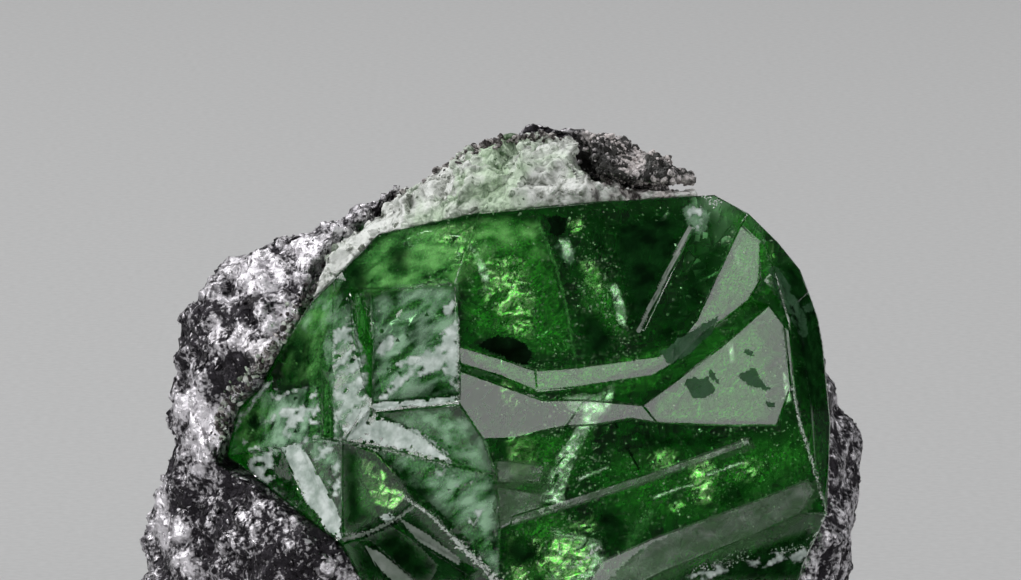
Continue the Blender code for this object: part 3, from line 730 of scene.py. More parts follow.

# Kind of skin, how much of it is left, and its outline
# The dull, shaded and near-black skins, but for the hollows, are painted shade; most whitish skins are
# frost
SKINS = [
    # A painted highlight along a narrow facet
    (WHITE, 1.2, (375, 401), (420, 398), (458, 394), (458, 400), (420, 404), (376, 410)),
    (WHITE, 1.1, (349, 437), (362, 413), (370, 395), (374, 400), (370, 421), (381, 418), (400, 421),
        (421, 428), (438, 439), (451, 451), (453, 460), (440, 457), (420, 449), (400, 447), (379, 441),
        (363, 437)),
    (WHITE, 1.15, (282, 447), (300, 441), (312, 455), (324, 476), (338, 500), (345, 520), (345, 535),
        (330, 527), (310, 500), (296, 475)),
    (HAZE, 2.0, (312, 448), (335, 440), (343, 452), (345, 500), (345, 518), (335, 492), (322, 470)),
    (WHITE, 0.3, (312, 448), (335, 440), (343, 452), (345, 500), (335, 492), (322, 470)),
    (WHITE, 0.5, (274, 388), (300, 388), (318, 384), (322, 400), (324, 437), (345, 441), (310, 446),
        (270, 452), (266, 420)),
    (HAZE, 2.0, (262, 392), (300, 388), (318, 384), (322, 400), (324, 437), (345, 441), (310, 452),
        (256, 456), (262, 420)),
    (HAZE, 2.0, (300, 322), (318, 300), (345, 274), (350, 292), (338, 312), (325, 332), (308, 334)),
    (LINE, 2.0, (345, 534), (372, 526.5), (396, 514.5), (416, 501), (417, 503.5), (397, 517), (373, 529.5),
        (346, 537)),
    # A painted highlight on the lower edge
    (WHITE, 2.0, (382, 512), (392, 508), (397, 513), (388, 518)),
    (HAZE, 2.0, (335, 312), (352, 302), (357, 325), (366, 350), (371, 391), (370, 415), (349, 437),
        (337, 437), (334, 395), (330, 366), (325, 345)),
    (WHITE, 0.62, (335, 330), (355, 318), (371, 365), (371, 395), (362, 413), (349, 437), (337, 437)),
    (WHITE, 0.62, (243, 438), (262, 446), (275, 450), (276, 470), (280, 490), (262, 480), (250, 468)),
    (CLOUDY, 2.0, (283, 330), (300, 312), (330, 285), (345, 275), (340, 312), (325, 345), (322, 384),
        (284, 385), (280, 360)),
    (WHITE, 0.8, (424, 352), (436, 340), (445, 328), (455, 321), (460, 316), (459, 390), (450, 380),
        (444, 368), (432, 372), (420, 376), (409, 371), (416, 362)),
    (WHITE, 0.8, (381, 397), (390, 383), (402, 371), (412, 365), (419, 370), (408, 380), (398, 390),
        (388, 398)),
    (WHITE, 0.75, (396, 363), (408, 356), (422, 353), (428, 358), (416, 364), (402, 367)),
    (WHITE, 0.75, (378, 352), (384, 340), (392, 333), (399, 337), (394, 348), (384, 357)),
    (WHITE, 0.7, (445, 301), (452, 295), (457, 305), (450, 319), (445, 312)),
    (HAZE, 2.0, (372, 300), (400, 285), (459, 282), (459, 392), (376, 399), (376, 350)),
    (CLOUDY, 2.0, (345, 275), (370, 245), (400, 228), (470, 222), (476, 260), (460, 300), (400, 292),
        (372, 300), (360, 292)),
    (CLOUDY, 2.0, (462, 222), (500, 214), (540, 222), (556, 262), (530, 262), (500, 250), (466, 290)),
    (HAZE, 2.0, (377, 412), (458, 401), (478, 426), (488, 440), (492, 470), (470, 463), (453, 455),
        (440, 441), (420, 427), (395, 418)),
    (HAZE, 2.0, (380, 448), (405, 450), (430, 456), (453, 463), (492, 472), (499, 500), (499, 572),
        (470, 535), (445, 510), (420, 488)),
    (WHITE, 0.2, (430, 456), (453, 463), (492, 472), (499, 500), (499, 560), (470, 520), (445, 490)),
    (LINE, 2.0, (402, 514), (425, 526), (462, 553), (460, 559), (420, 536)),
    (LINE, 2.0, (366, 541), (384, 549), (420, 578), (398, 579), (378, 560)),
    (WHITE, 0.5, (236, 398), (262, 384), (275, 380), (262, 396), (240, 425), (232, 450), (230, 430)),
    (CLOUDY, 2.0, (238, 410), (262, 392), (282, 400), (280, 440), (250, 468), (236, 450)),
    (LINE, 2.0, (686, 226), (690.5, 228), (637, 332), (634, 330)),
    (SHADE, 2.0, (494, 454), (550, 459), (550, 486), (494, 483)),
    (SHADE, 2.0, (494, 480), (550, 485), (543, 506), (494, 524)),
    (SHADE, 2.0, (520, 510), (748, 437), (752, 446), (520, 519)),
    # Painted shade: dull dark skins over a bright ledge and the right side
    (DULL_SHADE, 2.0, (764, 270), (772, 264), (788, 290), (802, 318), (804, 345), (794, 332), (776, 302)),
    (DULL_SHADE, 2.0, (798, 306), (826, 292), (826, 300), (802, 314)),
    (WHITE, 0.5, (680, 572), (716, 558), (735, 554), (744, 560), (722, 568), (700, 576)),
    (WHITE, 0.6, (742, 556), (760, 549), (774, 547), (784, 555), (760, 564), (746, 562)),
    (WHITE, 0.55, (784, 552), (800, 543), (808, 552), (792, 562)),
    (DARK_SHADE, 2.0, (640, 579), (700, 556), (800, 524), (818, 530), (804, 579)),
    (DARK_SHADE, 2.0, (770, 262), (800, 262), (822, 300), (828, 350), (826, 410), (800, 412), (790, 385),
        (786, 350), (782, 315), (775, 290)),
    (HAZE, 2.0, (335, 312), (352, 302), (357, 325), (366, 350), (371, 391), (370, 415), (349, 437),
        (337, 437), (334, 395), (330, 366), (325, 345)),
    (WHITE, 0.4, (684, 212), (696, 204), (704, 216), (700, 232), (690, 232)),
    (HAZE, 2.0, (680, 210), (696, 200), (708, 214), (702, 236), (688, 236)),
    (HAZE, 2.0, (552, 244), (566, 236), (574, 250), (572, 268), (560, 258)),
    (SHADE, 2.0, (600, 579), (640, 542), (700, 514), (760, 492), (812, 474), (822, 492), (780, 530),
        (700, 560), (660, 579)),
    # Painted shade: dull dark patches on the bright band
    (DULL_SHADE, 0.75, (678, 382), (690, 372), (704, 374), (712, 388), (702, 398), (686, 394)),
    (DULL_SHADE, 0.8, (700, 364), (712, 372), (716, 382), (708, 380)),
    (DULL_SHADE, 0.85, (733, 374), (750, 364), (756, 378), (768, 386), (762, 392), (748, 386)),
    (DULL_SHADE, 0.85, (736, 346), (748, 350), (750, 356), (740, 352)),
    (DULL_SHADE, 0.85, (760, 400), (772, 400), (770, 405), (762, 404)),
    (DULL_SHADE, 0.7, (655, 352), (680, 334), (700, 322), (716, 314), (712, 330), (690, 350), (668, 364)),
    (HOLLOW, 2.0, (479, 345), (486, 338), (499, 334), (514, 337), (525, 343), (531, 352), (530, 363),
        (516, 362), (501, 356), (488, 350)),
    (HOLLOW, 2.0, (546, 219), (556, 216), (565, 220), (566, 230), (558, 238), (549, 233)),
    # Painted shade: near-black skins where the garnet looks darkest
    (DARK_SHADE, 2.0, (342, 262), (352, 256), (370, 262), (374, 282), (362, 296), (348, 290)),
    (DARK_SHADE, 2.0, (388, 246), (402, 238), (414, 250), (412, 274), (398, 282), (388, 268)),
    (DARK_SHADE, 2.0, (284, 336), (306, 322), (318, 340), (314, 372), (298, 386), (284, 376)),
    (DARK_SHADE, 2.0, (240, 410), (258, 398), (270, 420), (264, 444), (244, 448)),
    (DARK_SHADE, 2.0, (606, 220), (680, 206), (690, 226), (660, 290), (640, 335), (630, 340), (622, 300),
        (610, 260)),
    (DARK_SHADE, 2.0, (650, 340), (690, 260), (720, 240), (700, 300), (670, 345)),
    (DARK_SHADE, 2.0, (582, 215), (606, 212), (608, 260), (590, 250)),
    (DARK_SHADE, 2.0, (575, 305), (600, 310), (620, 340), (610, 360), (580, 360)),
    (DARK_SHADE, 2.0, (630, 428), (700, 432), (720, 430), (715, 446), (660, 448), (632, 444)),
    (DARK_SHADE, 2.0, (500, 440), (540, 436), (548, 446), (530, 450), (505, 452)),
    (DARK_SHADE, 2.0, (585, 505), (612, 500), (628, 515), (622, 545), (600, 540)),
    (HOLLOW, 2.0, (611, 420), (614, 420), (638, 466), (635, 467)),
    (DARK_SHADE, 2.0, (500, 536), (522, 524), (544, 540), (540, 562), (518, 566), (500, 556)),
    (DARK_SHADE, 2.0, (718, 478), (760, 470), (740, 500), (712, 505)),
    (DARK_SHADE, 2.0, (352, 524), (410, 500), (470, 560), (480, 579), (370, 579)),
    (DARK_SHADE, 2.0, (346, 442), (362, 448), (364, 470), (366, 500), (380, 514), (346, 528)),
    (DARK_SHADE, 2.0, (380, 450), (405, 456), (440, 490), (470, 530), (440, 515), (415, 496)),
    (DARK_SHADE, 2.0, (352, 540), (400, 520), (440, 560), (430, 579), (362, 579)),
    (DARK_SHADE, 2.0, (396, 398), (412, 378), (436, 376), (450, 382), (460, 378), (460, 396)),
    (DARK_SHADE, 2.0, (374, 340), (388, 318), (398, 326), (396, 346), (384, 372), (375, 372)),
    (DARK_SHADE, 2.0, (404, 322), (430, 308), (440, 322), (428, 346), (408, 350)),
]

# Step between the places of a skin, how far in from its outline it fades, how much it covers at
# its ragged rim, and how far its under side lies over the garnet
SKIN_SPACING = 0.12
SKIN_FADE = 0.7
RIM_COVER = 0.25
SKIN_FLOOR = 0.004
# How high each kind of skin lies over the garnet, so that none lie in one plane
SKIN_LIFTS = [0.024, 0.018, 0.012, 0.045, 0.034, 0.038, 0.014, 0.03]


def edge_distance(outline, u, v):
    """Return the distance of a place on the map from an outline."""
    place = Vector((u, v))
    best = FAR
    for start, end in zip(outline, outline[1:] + outline[:1]):
        start, end = Vector(start), Vector(end)
        along = end - start
        share = min(max((place - start).dot(along) / along.length_squared, 0.0), 1.0)
        best = min(best, (place - start - along * share).length)
    return best


def skin_grid(outline, spacing):
    """Return the front's places in a grid over an outline, and the triangles between them."""
    us = np.array(outline)[:, 0]
    vs = np.array(outline)[:, 1]
    rise = spacing * 0.866
    columns = int((us.max() - us.min()) / spacing) + 3
    rows = int((vs.max() - vs.min()) / rise) + 3
    places, grid = [], {}
    for row in range(rows):
        for column in range(columns):
            u = us.min() + (column - 1 + 0.5 * (row % 2)) * spacing
            v = vs.min() + (row - 1) * rise
            place, facing = front_hit(u, v)
            if place is not None:
                grid[row, column] = len(places)
                places.append((u, v, place, facing))
    faces = []
    for row in range(rows - 1):
        for column in range(columns):
            above = column + row % 2
            for three in (((row, column), (row, column + 1), (row + 1, above)),
                          ((row, column), (row + 1, above), (row + 1, above - 1))):
                if all(key in grid for key in three):
                    faces.append([grid[key] for key in three])
    return places, faces


def skin_left(kind, share, outline, seed, u, v):
    """Return whether skin is left at a place inside its outline."""
    over, along = u * 0.85 + v * 0.5, v * 0.85 - u * 0.5
    field = 0.5 + 0.7 * noise.noise(Vector((over / 1.1, along / 0.4, seed * 3.1)))
    field += 0.45 * noise.noise(Vector((u / 0.28, v / 0.28, seed * 7.7)))
    distances, _ = noise.voronoi(Vector((u, v, seed * 2.3)) / 0.62)
    if kind == LINE:
        return True
    if kind in (WHITE, HAZE) and distances[0] < 0.15:
        return False
    if kind in (DULL_SHADE, SHADE, HOLLOW):
        return edge_distance(outline, u, v) / 0.2 + 1.5 * (field - 0.5) > 0.2
    if kind == WHITE and share > 1.0:
        field += 0.5 * (edge_distance(outline, u, v) < 0.1)
    return field < share


def middle_of(face, places):
    """Return a triangle's middle on the map, and how much the depth changes within it."""
    u = sum(places[k][0] for k in face) / 3
    v = sum(places[k][1] for k in face) / 3
    depths = [places[k][2].y for k in face]
    return u, v, max(depths) - min(depths)


def rim_of(faces):
    """Return the vertices on the open edges of triangles."""
    sides = np.sort(np.concatenate([faces[:, [0, 1]], faces[:, [1, 2]], faces[:, [2, 0]]]), axis=1)
    single, counts = np.unique(sides, axis=0, return_counts=True)
    return set(single[counts == 1].ravel().tolist())


def skin_arrays(kind):
    """Return the thin closed skins of one kind, and how far inside their outlines they lie."""
    parts, covers = [], []
    for seed, (of_kind, share, *points) in enumerate(SKINS):
        if of_kind != kind:
            continue
        outline = mapped(*points)
        places, faces = skin_grid(outline, SKIN_SPACING)
        kept = []
        for face in faces:
            u, v, change = middle_of(face, places)
            if inside(outline, u, v) and change < STEP_LIMIT:
                if skin_left(kind, share, outline, seed, u, v):
                    kept.append(face)
        if not kept:
            continue
        verts = np.array([place for _, _, place, _ in places])
        normals = np.array([facing for _, _, _, facing in places])
        parts.append(shell_arrays(verts, normals, np.array(kept), SKIN_LIFTS[kind], -SKIN_FLOOR))
        used = np.unique(kept)
        if kind == WHITE:
            rim = rim_of(np.array(kept)) if share < 1.0 else ()
            cover = [RIM_COVER if k in rim else 1.0 for k in used.tolist()]
        else:
            cover = [min(edge_distance(outline, *places[k][:2]) / SKIN_FADE, 1.0) for k in used]
        covers += cover * 2
    return (*joined(parts), covers)


# Name of each kind of skin, its two colours, how much they cover, how streaky they are and how much
# they fade towards their edges; the dull, shaded and near-black skins, but for the hollows, are painted
# shade
SKIN_LOOKS = [
    ("white_skin", (0.56, 0.68, 0.61, 1.0), (0.86, 0.94, 0.90, 1.0), (0.45, 0.85), 1.0, 1.0),
    ("haze_skin", (0.14, 0.38, 0.18, 1.0), (0.50, 0.80, 0.54, 1.0), (-0.06, 0.52), 2.2, 0.75),
    ("cloudy_skin", (0.04, 0.38, 0.03, 1.0), (0.27, 0.80, 0.19, 1.0), (0.0, 0.36), 1.6, 1.0),
    ("dull_skin", (0.04, 0.11, 0.05, 1.0), (0.08, 0.17, 0.095, 1.0), (0.45, 0.65), 1.0, 0.0),
    ("shaded_skin", (0.045, 0.10, 0.045, 1.0), (0.08, 0.15, 0.075, 1.0), (0.16, 0.5), 2.0, 0.2),
    ("thin_line", (0.16, 0.21, 0.16, 1.0), (0.26, 0.30, 0.26, 1.0), (0.8, 0.9), 1.0, 0.0),
    ("deep_skin", (0.002, 0.010, 0.003, 1.0), (0.008, 0.05, 0.010, 1.0), (0.95, 0.65), 1.3, 1.0),
    ("dark_hollows", (0.001, 0.003, 0.001, 1.0), (0.004, 0.014, 0.005, 1.0), (0.97, 0.8), 1.3, 0.0),
]
for kind, (name, *look) in enumerate(SKIN_LOOKS):
    *arrays, covers = skin_arrays(kind)
    skin = mesh_from_arrays(name, *arrays)
    set_values(skin, cover=covers)
    add_piece(name, skin, skin_material(name, *look), False)


# Veils inside the garnet; the glow veils are green sheets that add painted glow

GLOW, LIME, PALE, MIST = range(4)

# Kind of veil, depth under the front, relief, width of its soft edge, and its outline
VEILS = [
    (GLOW, 1.6, 0.20, 0.8, (462, 228), (500, 220), (540, 222), (556, 262), (570, 310), (576, 362),
        (535, 364), (500, 352), (462, 340)),
    (GLOW, 1.8, 0.20, 1.6, (600, 445), (700, 438), (800, 420), (815, 470), (770, 500), (700, 520),
        (630, 530), (590, 500)),
    (GLOW, 1.0, 0.20, 0.8, (500, 430), (560, 428), (600, 420), (580, 460), (560, 500), (590, 540),
        (560, 579), (502, 579), (500, 500)),
    (GLOW, 1.2, 0.16, 1.0, (572, 262), (600, 270), (625, 300), (630, 345), (590, 350), (578, 330)),
    (GLOW, 1.6, 0.16, 0.8, (538, 376), (600, 375), (660, 368), (700, 345), (700, 365), (650, 398),
        (600, 404), (540, 398)),
    (GLOW, 1.2, 0.12, 0.6, (704, 205), (745, 215), (766, 250), (768, 300), (730, 330), (722, 300),
        (735, 240)),
    (GLOW, 2.0, 0.16, 1.5, (700, 330), (770, 310), (785, 370), (775, 420), (700, 420), (650, 405)),
    (GLOW, 1.2, 0.16, 0.8, (600, 560), (700, 530), (800, 520), (805, 560), (700, 579), (600, 579)),
    (GLOW, 1.0, 0.16, 0.8, (346, 446), (372, 450), (400, 478), (412, 496), (392, 515), (346, 528)),
    (PALE, 0.7, 0.12, 0.25, (614, 383), (611, 404), (600, 418), (586, 432), (578, 448), (570, 468),
        (563, 490), (567, 504), (550, 500), (535, 498), (545, 472), (553, 452), (563, 440), (573, 424),
        (583, 408), (597, 396)),
    (PALE, 0.6, 0.08, 0.3, (560, 398), (580, 394), (600, 396), (604, 410), (590, 416), (566, 410)),
    (LIME, 0.8, 0.14, 0.3, (530, 530), (560, 520), (584, 530), (600, 543), (590, 560), (580, 579),
        (545, 579), (530, 560), (525, 545)),
    (LIME, 0.4, 0.10, 0.4, (552, 528), (580, 534), (596, 548), (584, 579), (556, 579), (540, 552)),
    (LIME, 0.5, 0.12, 0.4, (504, 446), (520, 436), (534, 442), (530, 470), (514, 482), (506, 466)),
    (LIME, 0.6, 0.12, 0.4, (682, 456), (704, 452), (716, 470), (708, 500), (690, 504), (684, 480)),
    (GLOW, 0.35, 0.04, 0.3, (650, 402), (700, 362), (762, 312), (786, 360), (780, 424), (700, 424),
        (645, 418)),
    (MIST, 0.9, 0.04, 0.05, (538, 220), (548, 244), (557, 270), (566, 308), (575, 362), (571, 362),
        (563, 312), (554, 274), (543, 246), (533, 222)),
    (PALE, 0.5, 0.06, 0.08, (664, 212), (669, 214), (650, 246), (640, 252), (646, 240)),
    (PALE, 0.5, 0.06, 0.06, (345, 534), (372, 528), (396, 516), (420, 502), (440, 488), (441, 492),
        (421, 506), (397, 521), (373, 533), (346, 539)),
    (PALE, 0.6, 0.16, 0.5, (548, 520), (600, 535), (604, 560), (590, 579), (546, 579)),
    (LIME, 0.6, 0.12, 0.3, (364, 452), (382, 458), (398, 474), (412, 492), (398, 508), (376, 500),
        (366, 476)),
    (GLOW, 0.5, 0.05, 0.2, (461, 345), (535, 370), (600, 362), (650, 350), (668, 340), (668, 362),
        (600, 382), (535, 394), (461, 368)),
    (GLOW, 0.5, 0.05, 0.2, (461, 375), (540, 402), (640, 405), (660, 395), (760, 318), (782, 360),
        (778, 424), (640, 418), (560, 424), (488, 436)),
    (GLOW, 0.5, 0.05, 0.2, (742, 230), (764, 250), (752, 290), (700, 330), (690, 330), (720, 270)),
    (PALE, 0.8, 0.08, 0.3, (606, 286), (616, 284), (626, 312), (624, 334), (614, 326), (610, 304)),
    (PALE, 0.5, 0.08, 0.3, (556, 240), (568, 238), (573, 250), (570, 270), (562, 262)),
    (PALE, 0.7, 0.08, 0.3, (729, 250), (746, 246), (750, 262), (742, 280), (728, 272)),
    (PALE, 0.5, 0.06, 0.15, (776, 368), (784, 376), (788, 400), (780, 404), (778, 388)),
    (PALE, 0.6, 0.08, 0.2, (720, 342), (730, 340), (732, 362), (724, 366)),
    (MIST, 0.8, 0.12, 0.6, (626, 520), (645, 500), (655, 508), (645, 525), (630, 545), (618, 548)),
    (LIME, 0.9, 0.11, 0.4, (486, 276), (500, 268), (515, 272), (512, 292), (498, 297), (487, 292)),
    (LIME, 1.2, 0.14, 0.9, (478, 262), (500, 255), (528, 262), (536, 300), (532, 345), (512, 342),
        (490, 330), (480, 300)),
    (LIME, 1.0, 0.13, 0.5, (502, 436), (520, 430), (536, 436), (536, 462), (524, 482), (508, 470)),
    (LIME, 1.2, 0.13, 0.5, (504, 540), (520, 532), (532, 548), (532, 579), (506, 579)),
    (LIME, 1.2, 0.11, 0.6, (640, 452), (660, 442), (676, 448), (668, 466), (648, 468)),
    (LIME, 1.0, 0.13, 0.5, (686, 468), (700, 462), (710, 472), (708, 502), (696, 500)),
    (LIME, 1.2, 0.11, 0.5, (660, 500), (676, 494), (684, 502), (668, 512)),
    (LIME, 1.2, 0.11, 0.8, (720, 462), (750, 452), (762, 462), (745, 482), (722, 480)),
    (LIME, 0.8, 0.07, 0.4, (760, 244), (768, 246), (768, 264), (762, 264)),
    (LIME, 1.0, 0.11, 0.5, (576, 262), (594, 262), (604, 290), (594, 304), (582, 292)),
    (LIME, 0.9, 0.11, 0.5, (495, 376), (512, 380), (520, 404), (512, 414), (500, 398)),
    (LIME, 0.8, 0.11, 0.4, (560, 226), (582, 218), (584, 232), (572, 240)),
    (LIME, 1.0, 0.11, 0.5, (560, 522), (590, 508), (600, 520), (590, 530), (570, 528)),
    (LIME, 0.8, 0.09, 0.5, (374, 470), (392, 474), (398, 490), (384, 498), (372, 488)),
    (LIME, 1.0, 0.11, 0.7, (410, 240), (445, 232), (455, 256), (430, 270), (408, 262)),
    (LIME, 0.8, 0.10, 0.6, (436, 228), (470, 222), (486, 240), (484, 270), (462, 284), (440, 262)),
    (PALE, 0.5, 0.08, 0.2, (468, 246), (477, 249), (490, 272), (491, 293), (483, 291), (476, 268)),
    (PALE, 0.5, 0.04, 0.08, (574, 474), (590, 467), (607, 461), (608, 465), (591, 472), (576, 479)),
    (PALE, 0.5, 0.04, 0.08, (700, 469), (738, 457), (741, 461), (702, 475)),
    (PALE, 0.5, 0.04, 0.08, (648, 492), (672, 483), (691, 479), (691, 483), (672, 488), (650, 497)),
    (LIME, 0.6, 0.14, 0.3, (505, 530), (514, 530), (522, 552), (530, 568), (528, 579), (512, 579),
        (508, 560)),
    (MIST, 0.7, 0.08, 0.5, (345, 275), (372, 245), (400, 230), (462, 225), (462, 290), (372, 300),
        (350, 290)),
    (MIST, 0.6, 0.08, 0.4, (284, 330), (330, 288), (352, 300), (372, 400), (349, 437), (284, 447),
        (284, 385)),
    (MIST, 0.7, 0.08, 0.4, (372, 300), (459, 290), (459, 395), (376, 399)),
    (MIST, 0.6, 0.08, 0.4, (236, 400), (280, 385), (284, 447), (240, 450)),
    (MIST, 0.6, 0.08, 0.4, (250, 455), (284, 450), (345, 450), (345, 540), (330, 530)),
    (MIST, 0.8, 0.08, 0.4, (377, 412), (458, 401), (490, 440), (498, 560), (470, 535), (420, 488),
        (380, 448)),
    (GLOW, 0.8, 0.10, 0.8, (340, 300), (380, 285), (400, 330), (380, 420), (345, 440), (320, 380)),
]

# Name of each kind of veil, its two colours, metal shine, roughness, cover and sharpness
VEIL_LOOKS = [
    ("green_veils", (0.03, 0.42, 0.02, 1.0), (0.16, 0.95, 0.09, 1.0), 0.65, 0.5, 0.8, (0.37, 0.62)),
    ("lime_veils", (0.22, 0.95, 0.12, 1.0), (0.85, 1.0, 0.62, 1.0), 0.85, 0.22, 1.0, (0.45, 0.56)),
    ("pale_veils", (0.42, 0.92, 0.38, 1.0), (1.0, 1.0, 1.0, 1.0), 0.8, 0.25, 1.0, (0.4, 0.55)),
    ("misty_veils", (0.03, 0.36, 0.03, 1.0), (0.32, 0.92, 0.26, 1.0), 0.4, 0.45, 0.85, (0.36, 0.6)),
]

# How thick veils are, the step between the places of each kind, and the least room in front of
# them and behind
VEIL_WIDTH = 0.02
VEIL_SPACINGS = [0.25, 0.12, 0.12, 0.12]
VEIL_FRONT = 0.2
VEIL_BACK = 0.3
# A veil faces partly halfway to the key light and partly as the garnet's front does
KEY_WAY = direction(6, 17)
KEY_SHARE = 0.575
FRONT_SHARE = 0.425


def veil_plane(outline, under):
    """Return a veil's middle, and the way it faces to send the key light to the front."""
    u, v = np.array(outline).mean(axis=0)
    place, facing = front_hit(u, v)
    return place + SIGHT * under, (KEY_SHARE * KEY_WAY + FRONT_SHARE * facing).normalized()


def veil_arrays(kind, spacing):
    """Return the closed thin veils of one kind, and how far inside their outlines they lie."""
    parts, covers = [], []
    for seed, (of_kind, under, relief, soft, *points) in enumerate(VEILS):
        if of_kind != kind:
            continue
        outline = mapped(*points)
        places, faces = skin_grid(outline, spacing)
        middle, facing = veil_plane(outline, under)
        verts, safe = [], []
        for u, v, place, _ in places:
            point = Vector((u, v, 11.0 * seed))
            crumple = noise.noise(point / 0.9) + 0.35 * noise.noise(point / 0.3)
            depth = (middle - place).dot(facing) / SIGHT.dot(facing) + relief * crumple
            through = room_behind(place) or 0.0
            verts.append(place + SIGHT * depth)
            safe.append(VEIL_FRONT < depth < through - VEIL_BACK)
        verts = np.array(verts)
        kept = []
        for face in faces:
            u, v, change = middle_of(face, places)
            if inside(outline, u, v) and all(safe[k] for k in face) and change < STEP_LIMIT:
                kept.append(face)
        if not kept:
            continue
        normals = np.tile(-np.array(SIGHT), (len(verts), 1))
        parts.append(shell_arrays(verts, normals, np.array(kept), VEIL_WIDTH / 2, VEIL_WIDTH / 2))
        used = np.unique(kept)
        cover = [min(edge_distance(outline, *places[k][:2]) / soft, 1.0) for k in used]
        covers += cover * 2
    return (*joined(parts), covers)


def veil_material(name, low, high, metallic, roughness, alpha, sharp):
    """Feathery veils of tiny hollows, or green sheets of painted glow inside the garnet."""
    n = Nodes(name)
    wisps = n.noise(2.0, 8.0, n.slanted(-0.9, 2.2), Roughness=0.74, Distortion=0.8)
    seen = n.math("MULTIPLY", n.span(wisps, *sharp), alpha)
    fleck = n.noise(9.0, 2.0)
    n.set(Base_Color=n.blend(n.span(fleck, 0.4, 0.66), low, high))
    n.set(Roughness=roughness, Metallic=metallic)
    n.set(Alpha=n.math("MULTIPLY", seen, n.value("cover")))
    return n.made


# Bright specks inside the garnet: place on the view, spread across and down, depth, how many
SPECKS = [
    (566, 440, 24, 50, 0.9, 800), (605, 300, 16, 30, 0.9, 400), (505, 300, 26, 40, 1.2, 700),
    (590, 285, 18, 30, 1.0, 400), (555, 550, 34, 24, 0.8, 1000), (690, 470, 70, 28, 1.3, 900),
    (738, 265, 14, 26, 0.9, 250), (728, 370, 8, 50, 0.8, 250), (640, 300, 60, 60, 2.0, 500),
    (545, 380, 60, 20, 1.0, 400), (430, 260, 50, 28, 1.0, 400), (600, 230, 90, 20, 1.2, 300),
    (770, 390, 16, 30, 0.7, 150), (385, 482, 18, 12, 0.8, 120), (640, 500, 120, 50, 2.0, 700),
    (620, 350, 10, 20, 0.8, 200),
]


def bright_specks():
    """Scatter tiny bright grains inside the garnet."""
    kinds = flake_shapes(4, FLAT, 8)
    centres = []
    for x, y, across, down, under, count in SPECKS:
        for _ in range(count):
            centre = inner_place(RNG.normal(x, across), RNG.normal(y, down),
                                 max(0.3, RNG.normal(under, under * 0.4)))
            if centre is not None:
                centres.append(centre)
    radius = 0.018 + 0.07 * RNG.random(len(centres)) ** 2.5
    facings = np.tile(-np.array(SIGHT), (len(centres), 1))
    return scatter("bright_specks", kinds, np.array(centres), facings, 0.5, radius,
                   (1.0, (0.4, 1.0), 0.4))[0]


# White chipped edges: the line they follow on the view, how wide they spread and how many
CHIPPED = [
    (((400, 489), (430, 508), (465, 543), (485, 562)), 0.9, 420, 0.055),
    (((455, 534), (480, 556), (500, 578)), 2.2, 260, 0.08),
    (((788, 385), (795, 420), (806, 455), (822, 510)), 0.9, 420, 0.05),
    (((822, 510), (812, 535), (800, 562)), 1.2, 260, 0.06),
    (((690, 566), (715, 560), (745, 553)), 3.0, 160, 0.05),
    (((770, 550), (800, 542), (815, 536)), 3.0, 140, 0.05),
    (((574, 560), (598, 541)), 1.5, 70, 0.06),
    (((372, 400), (376, 410), (374, 425)), 1.0, 70, 0.06),
    (((459, 318), (460, 400)), 0.8, 150, 0.045),
    (((345, 530), (370, 528), (395, 517), (420, 500)), 0.7, 90, 0.04),
    (((340, 437), (372, 446), (400, 450), (455, 463)), 1.4, 170, 0.045),
    (((700, 195), (712, 205), (722, 198)), 2.0, 60, 0.07),
]


def chips():
    """Scatter white chips along the garnet's chipped edges."""
    kinds = flake_shapes(5, CHIP, 10)
    places, facings, radii = [], [], []
    for line, spread, count, size in CHIPPED:
        points = [Vector(place) for place in mapped(*line)]
        lengths = [(end - start).length for start, end in zip(points, points[1:])]
        for _ in range(count):
            piece = RNG.choice(len(lengths), p=np.array(lengths) / sum(lengths))
            place = points[piece].lerp(points[piece + 1], RNG.random())
            u = place.x + RNG.normal(0, spread * SIGHT_STEP)
            v = place.y + RNG.normal(0, spread * SIGHT_STEP)
            hit, facing = front_hit(u, v)
            if hit is not None:
                places.append(hit + facing * 0.01)
                facings.append(facing)
                radii.append(size * RNG.uniform(0.25, 1.0))
    return scatter("white_chips", kinds, np.array(places), np.array(facings), 0.5,
                   np.array(radii), ((0.8, 1.8), (0.4, 1.0), (0.2, 0.6)))[0]


# Rock


def even_arrays(name, step):
    """Return a CAD node's shape with faces of one size all over."""
    obj = bpy.data.objects.new("even", mesh_of(node_mesh(name), "even"))
    bpy.context.scene.collection.objects.link(obj)
    modifier = obj.modifiers.new("even", "REMESH")
    modifier.mode = "VOXEL"
    modifier.voxel_size = step
    graph = bpy.context.evaluated_depsgraph_get()
    made = bpy.data.meshes.new_from_object(obj.evaluated_get(graph))
    bpy.data.objects.remove(obj)
    return arrays_of(made)


def to_garnet(verts):
    """Return each vertex's distance from the garnet and the way to it."""
    distance = np.full(len(verts), FAR)
    toward = np.zeros((len(verts), 3))
    for i, place in enumerate(verts):
        found, _, _, far = garnet_tree.find_nearest(Vector(place), GARNET_REACH)
        if found is not None and far > 1e-6:
            distance[i] = far
            toward[i] = (np.array(found) - place) / far
    return distance, toward
